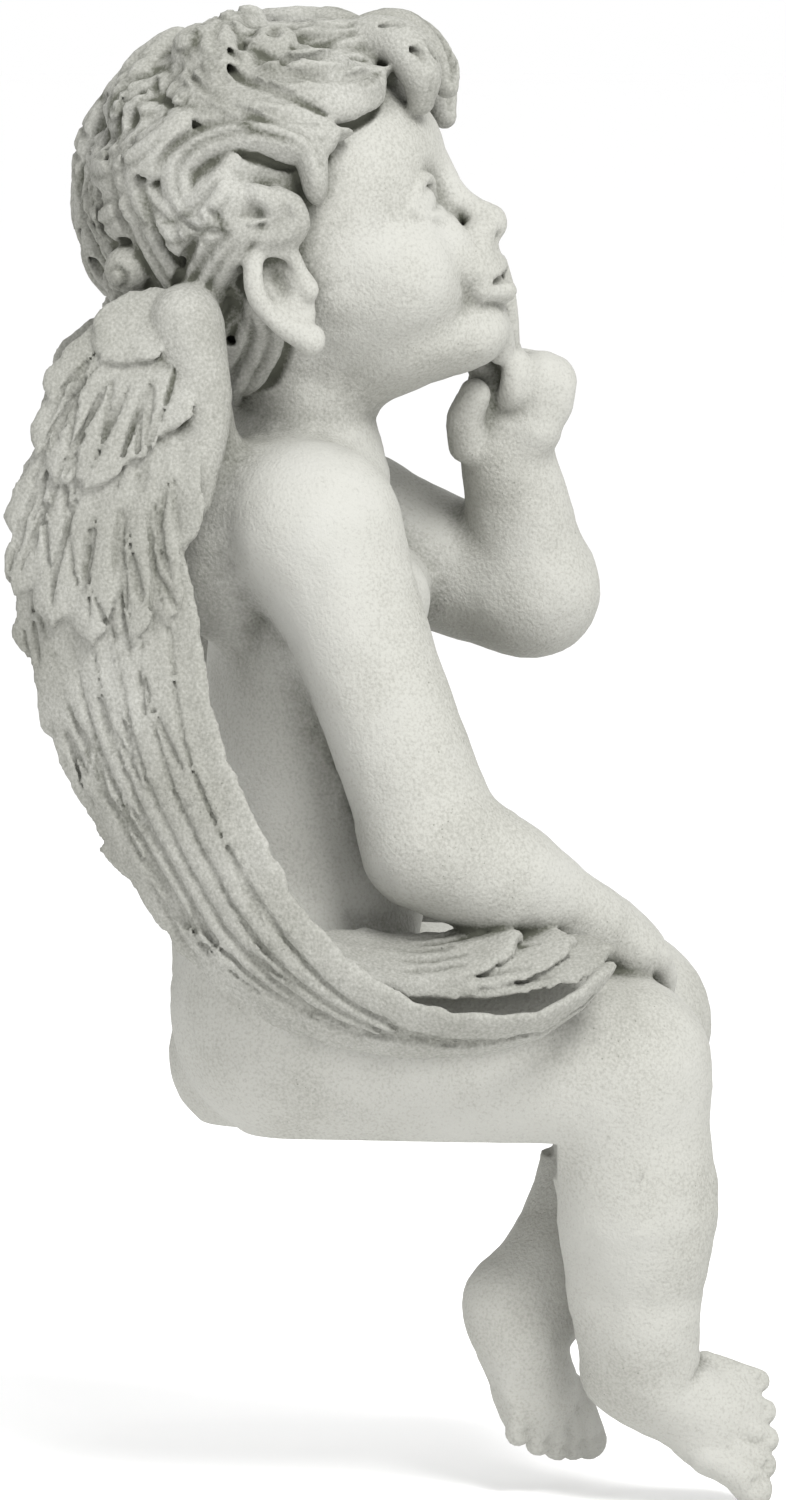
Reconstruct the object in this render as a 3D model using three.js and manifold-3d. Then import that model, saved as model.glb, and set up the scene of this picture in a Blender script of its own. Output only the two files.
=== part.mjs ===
// A seated cherub with half-closed wings, cast in one piece, that sits on the edge of a shelf or a low wall.
// The figure faces -Y, its left side is +X, and the flat underside that it sits on lies at z = 0.
// Its legs hang below that plane, in front of the edge. Lengths are in millimetres.
import * as THREE from "three";
import { mergeVertices } from "three/addons/utils/BufferGeometryUtils.js";
import Module from "manifold-3d";

const wasm = await Module();
wasm.setup();

// Driving dimensions.
const FIGURE_HEIGHT = 438; // from the lowest toe to the highest curl
const SEAT_BACK = 74; // from the origin back to the end of the space that the seat is cut from
const SEAT_FRONT = 46.5; // from the origin forward to the hollow of the knees, where the shelf ends
const PRIMARY_THICKNESS = 5.6; // long flight feathers
const COVERT_THICKNESS = 4.8; // short feathers that overlap the roots of the long ones
const PRIMARY_HALF_WIDTH = 10.5;
const COVERT_HALF_WIDTH = 8.2;
const WING_INSET = 8; // from the wing's edge to the middle of its outermost feather
const WING_BULGE = 6; // how far the wing's middle stands out from a line between its edges
const LOCK_HALF_WIDTH = 8.5; // a broad lock of hair
const LOCK_THICKNESS = 13; // of which about half stands out of the cap below
const TOE_RADIUS = 5.9; // the great toe, and the others follow
const FINGER_RADIUS = 4.7;

// How finely the surface is worked out.
const FIELD_STEP = 3;
const TRIANGLES = 9000;

// The figure's pose and proportions are shares of its height: one part is a millimetre at the full 438.
const PART = FIGURE_HEIGHT / 438;
const Side = { RIGHT: -1, LEFT: 1 };
const BOTH = Object.values(Side);

function at(side, forward, up) {
  return new THREE.Vector3(side, -forward, up).multiplyScalar(PART);
}

// Opposite corners of the space that the figure is laid up in.
const SPACE_LOW = at(-104, 122, -118);
const SPACE_HIGH = at(104, -130, 346);

function along(side, forward, up) {
  return new THREE.Vector3(side, -forward, up).normalize();
}

// A smooth least value: within the blend width the two surfaces run into each other like wet clay.
function melt(a, b, blend) {
  const share = Math.max(blend - Math.abs(a - b), 0) / blend;
  return Math.min(a, b) - (share * share * blend) / 4;
}

// A repeatable share between 0 and 1 that looks like chance, for the nth thing and its kth choice.
function chance(n, k) {
  const value = Math.sin(n * 12.9898 + k * 78.233) * 43758.5453;
  return value - Math.floor(value);
}

// A field of distances on a regular grid, negative inside the figure.
class Clay {
  constructor(low, high, step) {
    this.low = low;
    this.step = step;
    this.counts = high
      .clone()
      .sub(low)
      .divideScalar(step)
      .ceil()
      .addScalar(1)
      .toArray();
    const [nx, ny, nz] = this.counts;
    this.values = new Float32Array(nx * ny * nz).fill(4 * step);
  }

  // Calls change(old value, distance to the shape) at every grid point near the shape.
  work(shape, reach, change) {
    const [nx, ny] = this.counts;
    const margin = reach + 2 * this.step;
    const from = shape.box.min.clone().sub(this.low).subScalar(margin);
    const to = shape.box.max.clone().sub(this.low).addScalar(margin);
    const first = from
      .toArray()
      .map((v) => Math.max(0, Math.floor(v / this.step)));
    const last = to
      .toArray()
      .map((v, axis) =>
        Math.min(this.counts[axis] - 1, Math.ceil(v / this.step)),
      );
    for (let k = first[2]; k <= last[2]; k++) {
      const z = this.low.z + k * this.step;
      for (let j = first[1]; j <= last[1]; j++) {
        const y = this.low.y + j * this.step;
        for (let i = first[0]; i <= last[0]; i++) {
          const x = this.low.x + i * this.step;
          const n = i + nx * (j + ny * k);
          this.values[n] = change(this.values[n], shape.distance(x, y, z));
        }
      }
    }
  }

  add(shape, blend) {
    this.work(shape, blend, (old, d) => melt(old, d, blend));
  }

  carve(shape, blend) {
    this.work(shape, blend, (old, d) => -melt(-old, d, blend));
  }
}

// An egg-shaped mass. Its radii run across, forward and up, before it is turned.
function ball(centre, [side, forward, up], turn = new THREE.Quaternion()) {
  const radii = [side * PART, forward * PART, up * PART];
  const reach = Math.max(...radii);
  const back = new THREE.Matrix3()
    .setFromMatrix4(new THREE.Matrix4().makeRotationFromQuaternion(turn))
    .transpose().elements;
  const [a, b, c] = radii;
  const distance = (x, y, z) => {
    const dx = x - centre.x;
    const dy = y - centre.y;
    const dz = z - centre.z;
    const u = (back[0] * dx + back[3] * dy + back[6] * dz) / a;
    const v = (back[1] * dx + back[4] * dy + back[7] * dz) / b;
    const w = (back[2] * dx + back[5] * dy + back[8] * dz) / c;
    const size = Math.hypot(u, v, w);
    const slope = Math.hypot(u / a, v / b, w / c);
    return slope > 0 ? (size * (size - 1)) / slope : -Math.min(a, b, c);
  };
  const box = new THREE.Box3().setFromCenterAndSize(
    centre,
    new THREE.Vector3(2 * reach, 2 * reach, 2 * reach),
  );
  return { box, distance };
}

// Where a point lies beside a line of short straight pieces: the nearest piece, and how far along it.
function nearest(line, x, y, z) {
  let best = Infinity;
  let place = 0;
  for (let i = 0; i + 1 < line.length; i++) {
    const p = line[i];
    const q = line[i + 1];
    const ux = q.x - p.x;
    const uy = q.y - p.y;
    const uz = q.z - p.z;
    const length = ux * ux + uy * uy + uz * uz;
    const dot = (x - p.x) * ux + (y - p.y) * uy + (z - p.z) * uz;
    const t = Math.min(1, Math.max(0, dot / length));
    const gap = Math.hypot(x - p.x - t * ux, y - p.y - t * uy, z - p.z - t * uz);
    if (gap < best) {
      best = gap;
      place = i + t;
    }
  }
  return { gap: best, place };
}

function boxRound(line, margin) {
  return new THREE.Box3().setFromPoints(line).expandByScalar(margin);
}

// A rounded limb along a smooth line through its stations, each [point, radius in parts].
function limb(stations, pieces = 4) {
  const points = stations.map(([point]) => point);
  const radii = stations.map(([, radius]) => radius * PART);
  const curve = new THREE.CatmullRomCurve3(points);
  const steps = (points.length - 1) * pieces;
  const line = curve.getPoints(steps);
  const distance = (x, y, z) => {
    const { gap, place } = nearest(line, x, y, z);
    const station = Math.min(place / pieces, radii.length - 1.001);
    const i = Math.floor(station);
    return gap - (radii[i] + (radii[i + 1] - radii[i]) * (station - i));
  };
  return { box: boxRound(line, Math.max(...radii)), distance };
}

// A feather: a thin blade with a rounded tip along a line, facing the way its normals do.
function blade(line, normals, halfWidth, thickness, lean, tipStart = 0.76) {
  const last = line.length - 1;
  const tangents = line.map((p, i) =>
    line[Math.min(i + 1, last)]
      .clone()
      .sub(line[Math.max(i - 1, 0)])
      .normalize(),
  );
  const across = tangents.map((t, i) =>
    new THREE.Vector3().crossVectors(t, normals[i]).normalize(),
  );
  const distance = (x, y, z) => {
    const { place } = nearest(line, x, y, z);
    const i = Math.min(Math.floor(place), last - 1);
    const t = place - i;
    const share = place / last;
    const mix = (a, b, axis) => a[axis] + (b[axis] - a[axis]) * t;
    const dx = x - mix(line[i], line[i + 1], "x");
    const dy = y - mix(line[i], line[i + 1], "y");
    const dz = z - mix(line[i], line[i + 1], "z");
    const dot = (list) =>
      dx * mix(list[i], list[i + 1], "x") +
      dy * mix(list[i], list[i + 1], "y") +
      dz * mix(list[i], list[i + 1], "z");
    const b = dot(across);
    const n = dot(normals) - lean * b;
    const end = dot(tangents);
    const tip = Math.max(0, (share - tipStart) / (1 - tipStart));
    const root = Math.max(0, (0.25 - share) / 0.25);
    const width =
      halfWidth * Math.sqrt(Math.max(0.02, 1 - tip * tip)) * (1 - 0.35 * root);
    const half = (thickness / 2) * (1 - 0.25 * share);
    const size = Math.hypot(b / width, n / half, end / half);
    return (size - 1) * half;
  };
  return { box: boxRound(line, halfWidth + thickness), distance };
}

// The trunk: belly, chest and shoulder girdle over the pelvis and the two buttocks.
function trunk(clay) {
  clay.add(ball(at(0, -33, 50), [45, 35, 40]), 1);
  clay.add(ball(at(0, -27, 76), [43, 35, 36]), 14);
  clay.add(ball(at(0, -27, 108), [43, 32, 36]), 16);
  clay.add(ball(at(0, -26, 143), [46, 31, 34]), 16);
  clay.add(ball(at(0, -31, 177), [50, 25, 21]), 16);
  for (const side of BOTH) {
    clay.add(ball(at(side * 27, -36, 37), [31, 32, 36]), 8);
    clay.add(ball(at(side * 19, -6, 158), [18, 15, 15]), 9);
    clay.add(ball(at(side * 22, -48, 168), [19, 12, 24]), 10);
    clay.add(ball(at(side * 22, -36, 192), [24, 17, 13]), 10);
  }
  clay.carve(
    limb([
      [at(0, -62, 185), 2],
      [at(0, -63, 140), 2.6],
      [at(0, -68, 95), 3],
      [at(0, -76, 62), 3.6],
    ]),
    8,
  );
  clay.carve(
    limb([
      [at(0, -76, 56), 2.4],
      [at(0, -78, 34), 3.4],
      [at(0, -66, 6), 3.4],
    ]),
    5,
  );
  clay.carve(ball(at(0, 11, 76), [3, 3, 3.4]), 3);
}

// A thigh from the hip to the knee, before the seat is cut flat below it.
function thigh(clay, side, knee) {
  clay.add(
    limb([
      [at(side * 29, -26, 27), 31],
      [at(side * 33, 18, 25), 31],
      [knee, 27.5],
    ]),
    9,
  );
}

// A shin with its full calf, from the knee to the ankle.
function shin(clay, knee, calf, ankle, fullness) {
  clay.add(
    limb([
      [knee, 25],
      [calf, fullness],
      [ankle, 15],
    ]),
    7,
  );
}

// A frame on a hand or a foot: its point, the way that it points and the way that its back faces.
function frameAt(origin, direction, back, thumbSide) {
  const a = direction.clone().normalize();
  const w = new THREE.Vector3()
    .crossVectors(a, back)
    .multiplyScalar(thumbSide)
    .normalize();
  const b = new THREE.Vector3().crossVectors(w, a).multiplyScalar(thumbSide);
  const turn = new THREE.Quaternion().setFromRotationMatrix(
    new THREE.Matrix4().makeBasis(w, a, b),
  );
  const point = (inward, ahead, above) =>
    origin
      .clone()
      .addScaledVector(w, inward * PART)
      .addScaledVector(a, ahead * PART)
      .addScaledVector(b, above * PART);
  return { point, turn, inward: w, ahead: a, back: b };
}

// A foot with five toes, below its ankle. The frame starts in the heel, and its inward side is the great toe's.
function foot(clay, ankle, place) {
  const { point, turn } = place;
  clay.add(
    limb([
      [ankle, 15.5],
      [point(0, 13, 4), 13.5],
      [point(0, 25, 1), 10.5],
    ]),
    7,
  );
  clay.add(ball(point(0, 0, 0), [12, 12, 12], turn), 9);
  clay.add(ball(point(0, 15, -1), [12, 22, 9], turn), 8);
  clay.add(ball(point(0, 32, -1), [16.5, 13, 8.5], turn), 7);
  for (let toe = 0; toe < 5; toe++) {
    const size = TOE_RADIUS / PART - (toe ? 1 + 0.3 * toe : 0);
    const across = 12.9 - 6.7 * toe;
    const reach = 43 - 0.8 * toe * toe;
    clay.add(
      limb([
        [point(across * 0.95, reach - 9, 1), size * 0.95],
        [point(across * 1.05, reach + 1, 2), size * 0.8],
        [point(across * 1.12, reach + 7.5, -1), size * 0.98],
      ]),
      0.8,
    );
  }
}

// One finger as a chain of three joints that bends towards the palm.
function finger(clay, start, direction, axis, lengths, bends, radius) {
  const heading = direction.clone();
  const place = start.clone();
  const stations = [[place.clone(), radius * 1.08]];
  lengths.forEach((length, joint) => {
    heading.applyAxisAngle(axis, THREE.MathUtils.degToRad(bends[joint]));
    place.addScaledVector(heading, length * PART);
    stations.push([place.clone(), radius * (0.98 - 0.05 * joint)]);
  });
  clay.add(limb(stations), 1.4);
}

// A plump hand: a palm, four fingers and a thumb, each finger with its own three bends.
function hand(clay, place, bends, thumb) {
  const { point, turn, inward } = place;
  clay.add(
    limb([
      [point(0, -4, 0), 11],
      [point(0, 8, 0), 10.5],
    ]),
    5,
  );
  clay.add(ball(point(0, 17, 0), [15.5, 15, 8.5], turn), 6);
  const radius = FINGER_RADIUS / PART;
  bends.forEach((bend, n) => {
    const across = 11.2 - 7.4 * n;
    const longest = n === 3 ? 8.2 : 9.6;
    finger(
      clay,
      point(across, 27 - 0.9 * (n - 1) * (n - 1), 0),
      place.ahead,
      inward.clone().multiplyScalar(-place.curl),
      [longest, longest * 0.8, longest * 0.66],
      bend,
      radius * (n === 3 ? 0.9 : 1),
    );
  });
  clay.add(
    limb([
      [point(...thumb[0]), 6.4],
      [point(...thumb[1]), 5.6],
      [point(...thumb[2]), 4.8],
    ]),
    3,
  );
}

// The head leans back a little and looks up. Its own points are measured from the middle of the skull.
const HEAD_CENTRE = at(0, -31, 268);
const HEAD_SIZE = 1.07;
const HEAD_TURN = new THREE.Quaternion().setFromEuler(
  new THREE.Euler(
    THREE.MathUtils.degToRad(-25),
    THREE.MathUtils.degToRad(0),
    THREE.MathUtils.degToRad(-7),
  ),
);

function onHead(side, forward, up) {
  return at(side, forward, up)
    .multiplyScalar(HEAD_SIZE)
    .applyQuaternion(HEAD_TURN)
    .add(HEAD_CENTRE);
}

function headBall(centre, radii) {
  return ball(
    onHead(...centre),
    radii.map((radius) => radius * HEAD_SIZE),
    HEAD_TURN,
  );
}

function headLimb(stations) {
  return limb(
    stations.map(([side, forward, up, radius]) => [
      onHead(side, forward, up),
      radius * HEAD_SIZE,
    ]),
  );
}

// Skull, jaw, cheeks and the soft fold below the chin.
function skull(clay) {
  clay.add(headBall([0, -2, 4], [41, 45, 41]), 2);
  clay.add(headBall([0, 15, 10], [35, 31, 28]), 12);
  clay.add(headBall([0, 13, -25], [32, 28, 26]), 12);
  for (const side of BOTH)
    clay.add(headBall([side * 19, 24, -26], [15, 14, 15]), 8);
  clay.add(headBall([0, 33, -48], [10, 9.5, 9]), 8);
  clay.add(headBall([0, 16, -46], [20, 19, 9]), 9);
}

// A calm child's face on common proportions: eyes at the middle of the head, a short nose, parted lips.
function face(clay) {
  for (const side of BOTH) {
    clay.carve(headBall([side * 16, 46, -8], [10, 6, 6]), 7);
    clay.add(headBall([side * 16, 34.5, -9], [8.6, 8, 7.2]), 1.6);
    clay.add(
      headLimb([
        [side * 8.5, 40, -11, 1.5],
        [side * 13, 42.8, -4.6, 1.9],
        [side * 19, 41.6, -3.8, 1.9],
        [side * 25, 36.5, -9.5, 1.5],
      ]),
      1.6,
    );
    clay.add(
      headLimb([
        [side * 8.5, 40, -11, 1.3],
        [side * 14, 41.6, -14.6, 1.6],
        [side * 20, 40, -14.4, 1.6],
        [side * 25, 36.5, -9.5, 1.3],
      ]),
      1.8,
    );
    clay.add(headBall([side * 5.4, 46.4, -23.6], [4, 4.4, 3.8]), 3);
  }
  clay.add(
    headLimb([
      [0, 41.5, -3, 4.2],
      [0, 44.6, -14, 4.4],
      [0, 49.4, -22, 5.4],
    ]),
    5,
  );
  clay.add(headBall([0, 42, -33], [13, 7, 8]), 6);
  clay.add(
    headLimb([
      [-10.5, 40.6, -36.4, 1.6],
      [-4.4, 46, -33.8, 2.6],
      [0, 46.6, -34.4, 2.4],
      [4.4, 46, -33.8, 2.6],
      [10.5, 40.6, -36.4, 1.6],
    ]),
    1.6,
  );
  clay.add(
    headLimb([
      [-9, 41, -38.6, 1.8],
      [0, 45.4, -41, 3.3],
      [9, 41, -38.6, 1.8],
    ]),
    2,
  );
  clay.carve(
    headLimb([
      [-7.5, 44.4, -37.2, 1.3],
      [0, 47.6, -37.4, 2],
      [7.5, 44.4, -37.2, 1.3],
    ]),
    1.2,
  );
}

// An ear: a shallow shell with a raised rim and a lobe.
function ear(clay, side) {
  clay.add(headBall([side * 39.5, -6, -17], [5, 7.5, 14]), 3);
  clay.add(
    headLimb([
      [side * 41, 1.5, -16, 1.8],
      [side * 44, 1, -7, 2.4],
      [side * 46, -6, -3.5, 2.8],
      [side * 47, -11, -11, 2.8],
      [side * 45, -10, -22, 2.8],
      [side * 42.5, -4, -31, 4.4],
    ]),
    1.6,
  );
  clay.carve(headBall([side * 45.5, -4.5, -13], [4, 3.6, 6.5]), 1.6);
  clay.add(headBall([side * 42, 1.5, -18], [3, 2.6, 3.8]), 2);
}

// The cap of hair below the locks.
const CAP_CENTRE = at(0, -34, 277);
const CAP_RADII = [45, 48, 43];

// The locks that a side view shows: each has its path as [forward, up], half its width and its thickness.
const SIDE_LOCKS = [
  [[[-90, 276], [-88, 262], [-78, 250]], 7, 9],
  [[[-84, 296], [-89, 282], [-85, 266], [-74, 252]], 7, 9],
  [[[-71, 318], [-82, 309], [-87, 298], [-84, 286]], 7.5, 9],
  [[[-62, 312], [-72, 305], [-78, 294], [-75, 282]], 6.5, 9],
  [[[-54, 321], [-45, 325], [-36, 327], [-28, 324], [-18, 321]], 6.5, 8],
  [[[-48, 323], [-36, 316], [-20, 314], [-9, 317]], 7.5, 8],
  [[[-59, 321], [-48, 311], [-34, 305], [-16, 308], [-6, 312]], 8, 9],
  [[[-76, 318], [-65, 313], [-55, 305], [-43, 299], [-29, 295], [-18, 296]], 7.5, 9],
  [[[-58, 300], [-70, 296], [-76, 283], [-73, 267], [-66, 254], [-58, 247]], 6, 10],
  [[[-62, 274], [-57, 264], [-53, 256]], 8, 9],
  [[[-46, 268], [-52, 262], [-57, 252], [-54, 243]], 6, 9],
  [
    [[-25, 283], [-27, 291], [-40, 296], [-54, 294], [-64, 286], [-62, 275], [-53, 270], [-43, 271]],
    5.2,
    11,
  ],
  [[[-41, 246], [-40, 238], [-44, 229], [-48, 219]], 6.5, 9],
  [[[-58, 246], [-60, 236], [-57, 226]], 7, 9],
];

// Round curls at each side: forward, up, the coil's radius, half its thickness, and its height over the cap.
const SIDE_CURLS = [
  [-75, 298, 4.6, 4.4, 6],
  [-37, 322, 4.2, 4, 6],
  [-42, 275, 3.2, 3.4, 3],
  [-31, 271, 3, 3.2, 1.5],
  [-43, 254, 6, 3.6, 1.5],
];

// True where hair grows: above the brow, and behind the line of the ears. The way is the world's own.
function hairy({ x, y, z }) {
  const forward = -y;
  return z > -0.35
    ? 0.8 * forward - 0.6 * z < 0.1 - 0.25 * Math.abs(x)
    : forward < -0.3 && z > -0.9;
}

// The way that the cap faces below a point.
function capFaces(point) {
  const [a, b, c] = CAP_RADII;
  const offset = point.clone().sub(CAP_CENTRE);
  offset.z = Math.max(offset.z, -20 * PART);
  return new THREE.Vector3(
    offset.x / (a * a),
    offset.y / (b * b),
    offset.z / (c * c),
  ).normalize();
}

// The spot over the cap that is seen at that place from that side.
function seen(side, forward, up, lift) {
  const [a, b, c] = CAP_RADII.map((radius) => radius + lift);
  const v = (-forward * PART - CAP_CENTRE.y) / b;
  const w = (up * PART - CAP_CENTRE.z) / c;
  const nape = up < 240;
  const fit = nape ? 1 : Math.min(1, 0.95 / Math.hypot(v, w));
  const out = Math.sqrt(Math.max(0, 1 - (v * v + w * w) * fit * fit)) * a;
  return CAP_CENTRE.clone().add(
    new THREE.Vector3(side * Math.max(out, nape ? 21 : 0), v * b * fit, w * c * fit),
  );
}

// A cap of hair, cut off along the hairline.
function scalp() {
  const egg = ball(CAP_CENTRE, CAP_RADII);
  const hairline = new THREE.Plane().setFromNormalAndCoplanarPoint(
    along(0, 0.82, -0.57),
    at(0, -10, 305),
  );
  const distance = (x, y, z) => {
    const front = hairline.distanceToPoint(new THREE.Vector3(x, y, z));
    const peak = 7 * PART - (0.0045 / PART) * x * x;
    return -melt(-egg.distance(x, y, z), peak - front, 5);
  };
  return { box: egg.box, distance };
}

function lock(clay, line, halfWidth, thickness) {
  clay.add(blade(line, line.map(capFaces), halfWidth, thickness, 0, 0.7), 0.8);
}

// A lock that sweeps back over the cap in a wave and ends in a curl. It starts in the given direction.
function wave(clay, start, heading, bend, length, high) {
  const back = new THREE.Vector3(0, 1, -0.35).normalize();
  const way = start.clone();
  const ahead = back.addScaledVector(way, -back.dot(way)).normalize();
  ahead.applyAxisAngle(way, heading);
  const step = 2.5;
  const count = Math.floor(length / step);
  const line = [];
  for (let i = 0; i <= count; i++) {
    const share = i / count;
    const lift = high + 3 * Math.sin(Math.PI * Math.min(1, 0.15 + 0.75 * share));
    const reach = CAP_RADII.map((radius) => (radius + lift) * PART);
    line.push(
      new THREE.Vector3(...reach).multiply(way).add(CAP_CENTRE),
    );
    const turn = bend * step * (0.05 * Math.sin(5 * share) + 0.22 * share ** 3);
    ahead.applyAxisAngle(way, turn);
    way.addScaledVector(ahead, step / 47).normalize();
    ahead.addScaledVector(way, -ahead.dot(way)).normalize();
  }
  lock(clay, line, LOCK_HALF_WIDTH, LOCK_THICKNESS);
}

// A coil round a drilled hole.
function roundCurl(clay, side, [forward, up, size, radius, lift]) {
  const middle = seen(side, forward, up, lift);
  const normal = capFaces(middle);
  const vertical = new THREE.Vector3(0, 0, 1);
  const right = new THREE.Vector3().crossVectors(normal, vertical).normalize();
  const above = new THREE.Vector3().crossVectors(right, normal);
  const coil = [];
  for (let i = 0; i < 12; i++) {
    const angle = side * (0.6 + (2 * Math.PI * i) / 10);
    const reach = size * (1 - 0.03 * i) * PART;
    const spot = middle
      .clone()
      .addScaledVector(right, Math.cos(angle) * reach)
      .addScaledVector(above, Math.sin(angle) * reach)
      .addScaledVector(normal, 0.12 * i);
    coil.push([spot, radius * (1 - 0.03 * i)]);
  }
  const base = middle.clone().addScaledVector(normal, -radius);
  clay.add(ball(base, [size + 2, size + 2, size + 2]), 3);
  clay.add(limb(coil, 3), 2.5);
  const hole = Math.max(1.8, size - radius * 0.55);
  clay.carve(ball(middle.clone().addScaledVector(normal, 2), [hole, hole, hole]), 1);
}

// The thick locks that roll over the forehead, each station as side, forward, up and radius.
const FORELOCKS = [
  [[14, -16, 319, 6], [18, -6, 321, 7.5], [22, 4, 316, 7.5], [24, 11, 308, 6], [21, 13, 300, 4]],
  [[-10, -18, 319, 6], [-15, -8, 323, 7.5], [-20, 1, 321, 7.5], [-23, 6, 313, 6.5], [-21, 6, 305, 4]],
  [[-6, -14, 322, 6.5], [-2, -4, 325, 7.5], [3, 5, 322, 7], [3, 12, 315, 5.5], [-2, 14, 309, 3.5]],
];

// Thick waves all over the cap, spaced evenly round the head, with the locks and curls of each side over them.
function hair(clay) {
  clay.add(scalp(), 2);
  clay.add(ball(at(0, -46, 246), [38, 32, 30]), 6);
  const waves = 72;
  const golden = Math.PI * (3 - Math.sqrt(5));
  for (let n = 0; n < waves; n++) {
    const z = 1 - (2 * (n + 0.5)) / waves;
    const round = Math.sqrt(1 - z * z);
    const way = new THREE.Vector3(
      Math.cos(golden * n) * round,
      Math.sin(golden * n) * round,
      z,
    );
    const heading = 1.6 * chance(n, 0) - 0.8;
    const bend = (chance(n, 1) < 0.5 ? -1 : 1) * (0.8 + 0.4 * chance(n, 2));
    const length = 26 + 10 * chance(n, 3);
    if (hairy(way)) wave(clay, way, heading, bend, length, 3 + 3 * chance(n, 4));
  }
  for (const side of BOTH) {
    for (const [path, halfWidth, thickness] of SIDE_LOCKS) {
      const spots = path.map(([forward, up]) => seen(side, forward, up, 4));
      const line = new THREE.CatmullRomCurve3(spots).getPoints(4 * (spots.length - 1));
      lock(clay, line, halfWidth * 1.15, thickness * 1.35);
    }
    clay.carve(ball(seen(side, -43, 285, 6), [10, 10.5, 5.5]), 2);
    for (const curl of SIDE_CURLS) roundCurl(clay, side, curl);
  }
  for (const forelock of FORELOCKS)
    clay.add(limb(forelock.map(([x, y, z, radius]) => [at(x, y, z), radius])), 2);
}

// The rear and the front edge of a wing, from its wrist down and round the hip to the tip.
const WING_EDGES = [
  [at(40, -74, 249), at(42, -62, 250)],
  [at(42, -99, 227), at(46, -52, 239)],
  [at(43, -110, 195), at(56, -54, 210)],
  [at(46, -114, 163), at(64, -54, 183)],
  [at(52, -107, 131), at(68, -49, 158)],
  [at(60, -93, 101), at(72, -46, 130)],
  [at(67, -75, 73), at(77, -37, 106)],
  [at(72, -56, 50), at(81, -25, 84)],
  [at(74, -31, 36), at(84, -10, 63)],
  [at(75, -8, 31), at(86, 6, 51)],
  [at(75, 20, 33), at(86, 22, 46)],
  [at(74, 42, 40), at(83, 42, 47)],
  [at(71, 57, 54), at(73, 59, 59)],
];

// A point on the wing's outer face, and the way that it faces. Reach runs down it, and across from -1 to 1.
function wingPlace(side, reach, across, lift) {
  const rear = new THREE.CatmullRomCurve3(WING_EDGES.map(([edge]) => edge));
  const front = new THREE.CatmullRomCurve3(WING_EDGES.map(([, edge]) => edge));
  const middle = (place) => {
    const t = Math.min(1, Math.max(0, place / (WING_EDGES.length - 1)));
    const start = rear.getPoint(t);
    const end = front.getPoint(t);
    const inset = Math.min(0.35, (WING_INSET * PART) / start.distanceTo(end));
    return start.lerp(end, inset + ((1 - 2 * inset) * (across + 1)) / 2);
  };
  const share = Math.min(1, Math.max(0, reach / (WING_EDGES.length - 1)));
  const width = front.getPoint(share).sub(rear.getPoint(share));
  const run = middle(reach + 0.1).sub(middle(reach - 0.1));
  const normal = new THREE.Vector3().crossVectors(width, run).normalize();
  if (normal.x < 0) normal.negate();
  const bulge = WING_BULGE * (1 - across * across) * Math.sin(Math.PI * share);
  const point = middle(reach).addScaledVector(normal, bulge + lift);
  point.x *= side;
  normal.x *= side;
  return { point, normal };
}

// A feather on the wing, from one place to another.
function plume(clay, side, [reach, across], [endReach, endAcross], sizes) {
  const steps = sizes.steps ?? 9;
  const line = [];
  const normals = [];
  for (let i = 0; i <= steps; i++) {
    const share = i / steps;
    const { point, normal } = wingPlace(
      side,
      reach + (endReach - reach) * share,
      across + (endAcross - across) * share,
      sizes.lift * (0.2 + 0.8 * share),
    );
    line.push(point);
    normals.push(normal);
  }
  clay.add(
    blade(line, normals, sizes.halfWidth, sizes.thickness, side * sizes.lean, sizes.tip),
    0.4,
  );
}

// Rows of short feathers from the lowest up: height over the face, the row's first and last root, and the tips.
const COVERT_ROWS = [
  {
    lift: 5,
    roots: [[1.3, -0.55], [1.9, 0.85]],
    tips: [
      [2.55, -1.25],
      [3.05, -1.2],
      [3.45, -0.75],
      [3.75, -0.3],
      [3.9, 0.2],
      [3.85, 0.62],
      [3.15, 0.98],
    ],
  },
  {
    lift: 6,
    roots: [[0.5, -0.5], [0.9, 0.75]],
    tips: [
      [1.35, -1.25],
      [1.8, -1.2],
      [2.15, -0.75],
      [2.3, -0.25],
      [2.15, 0.25],
      [1.95, 0.7],
    ],
  },
  {
    lift: 6.4,
    roots: [[0.12, -0.5], [0.2, 0.5]],
    tips: [
      [0.75, -1.1],
      [1.05, -0.6],
      [1.15, -0.05],
      [0.95, 0.45],
    ],
  },
];

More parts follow.
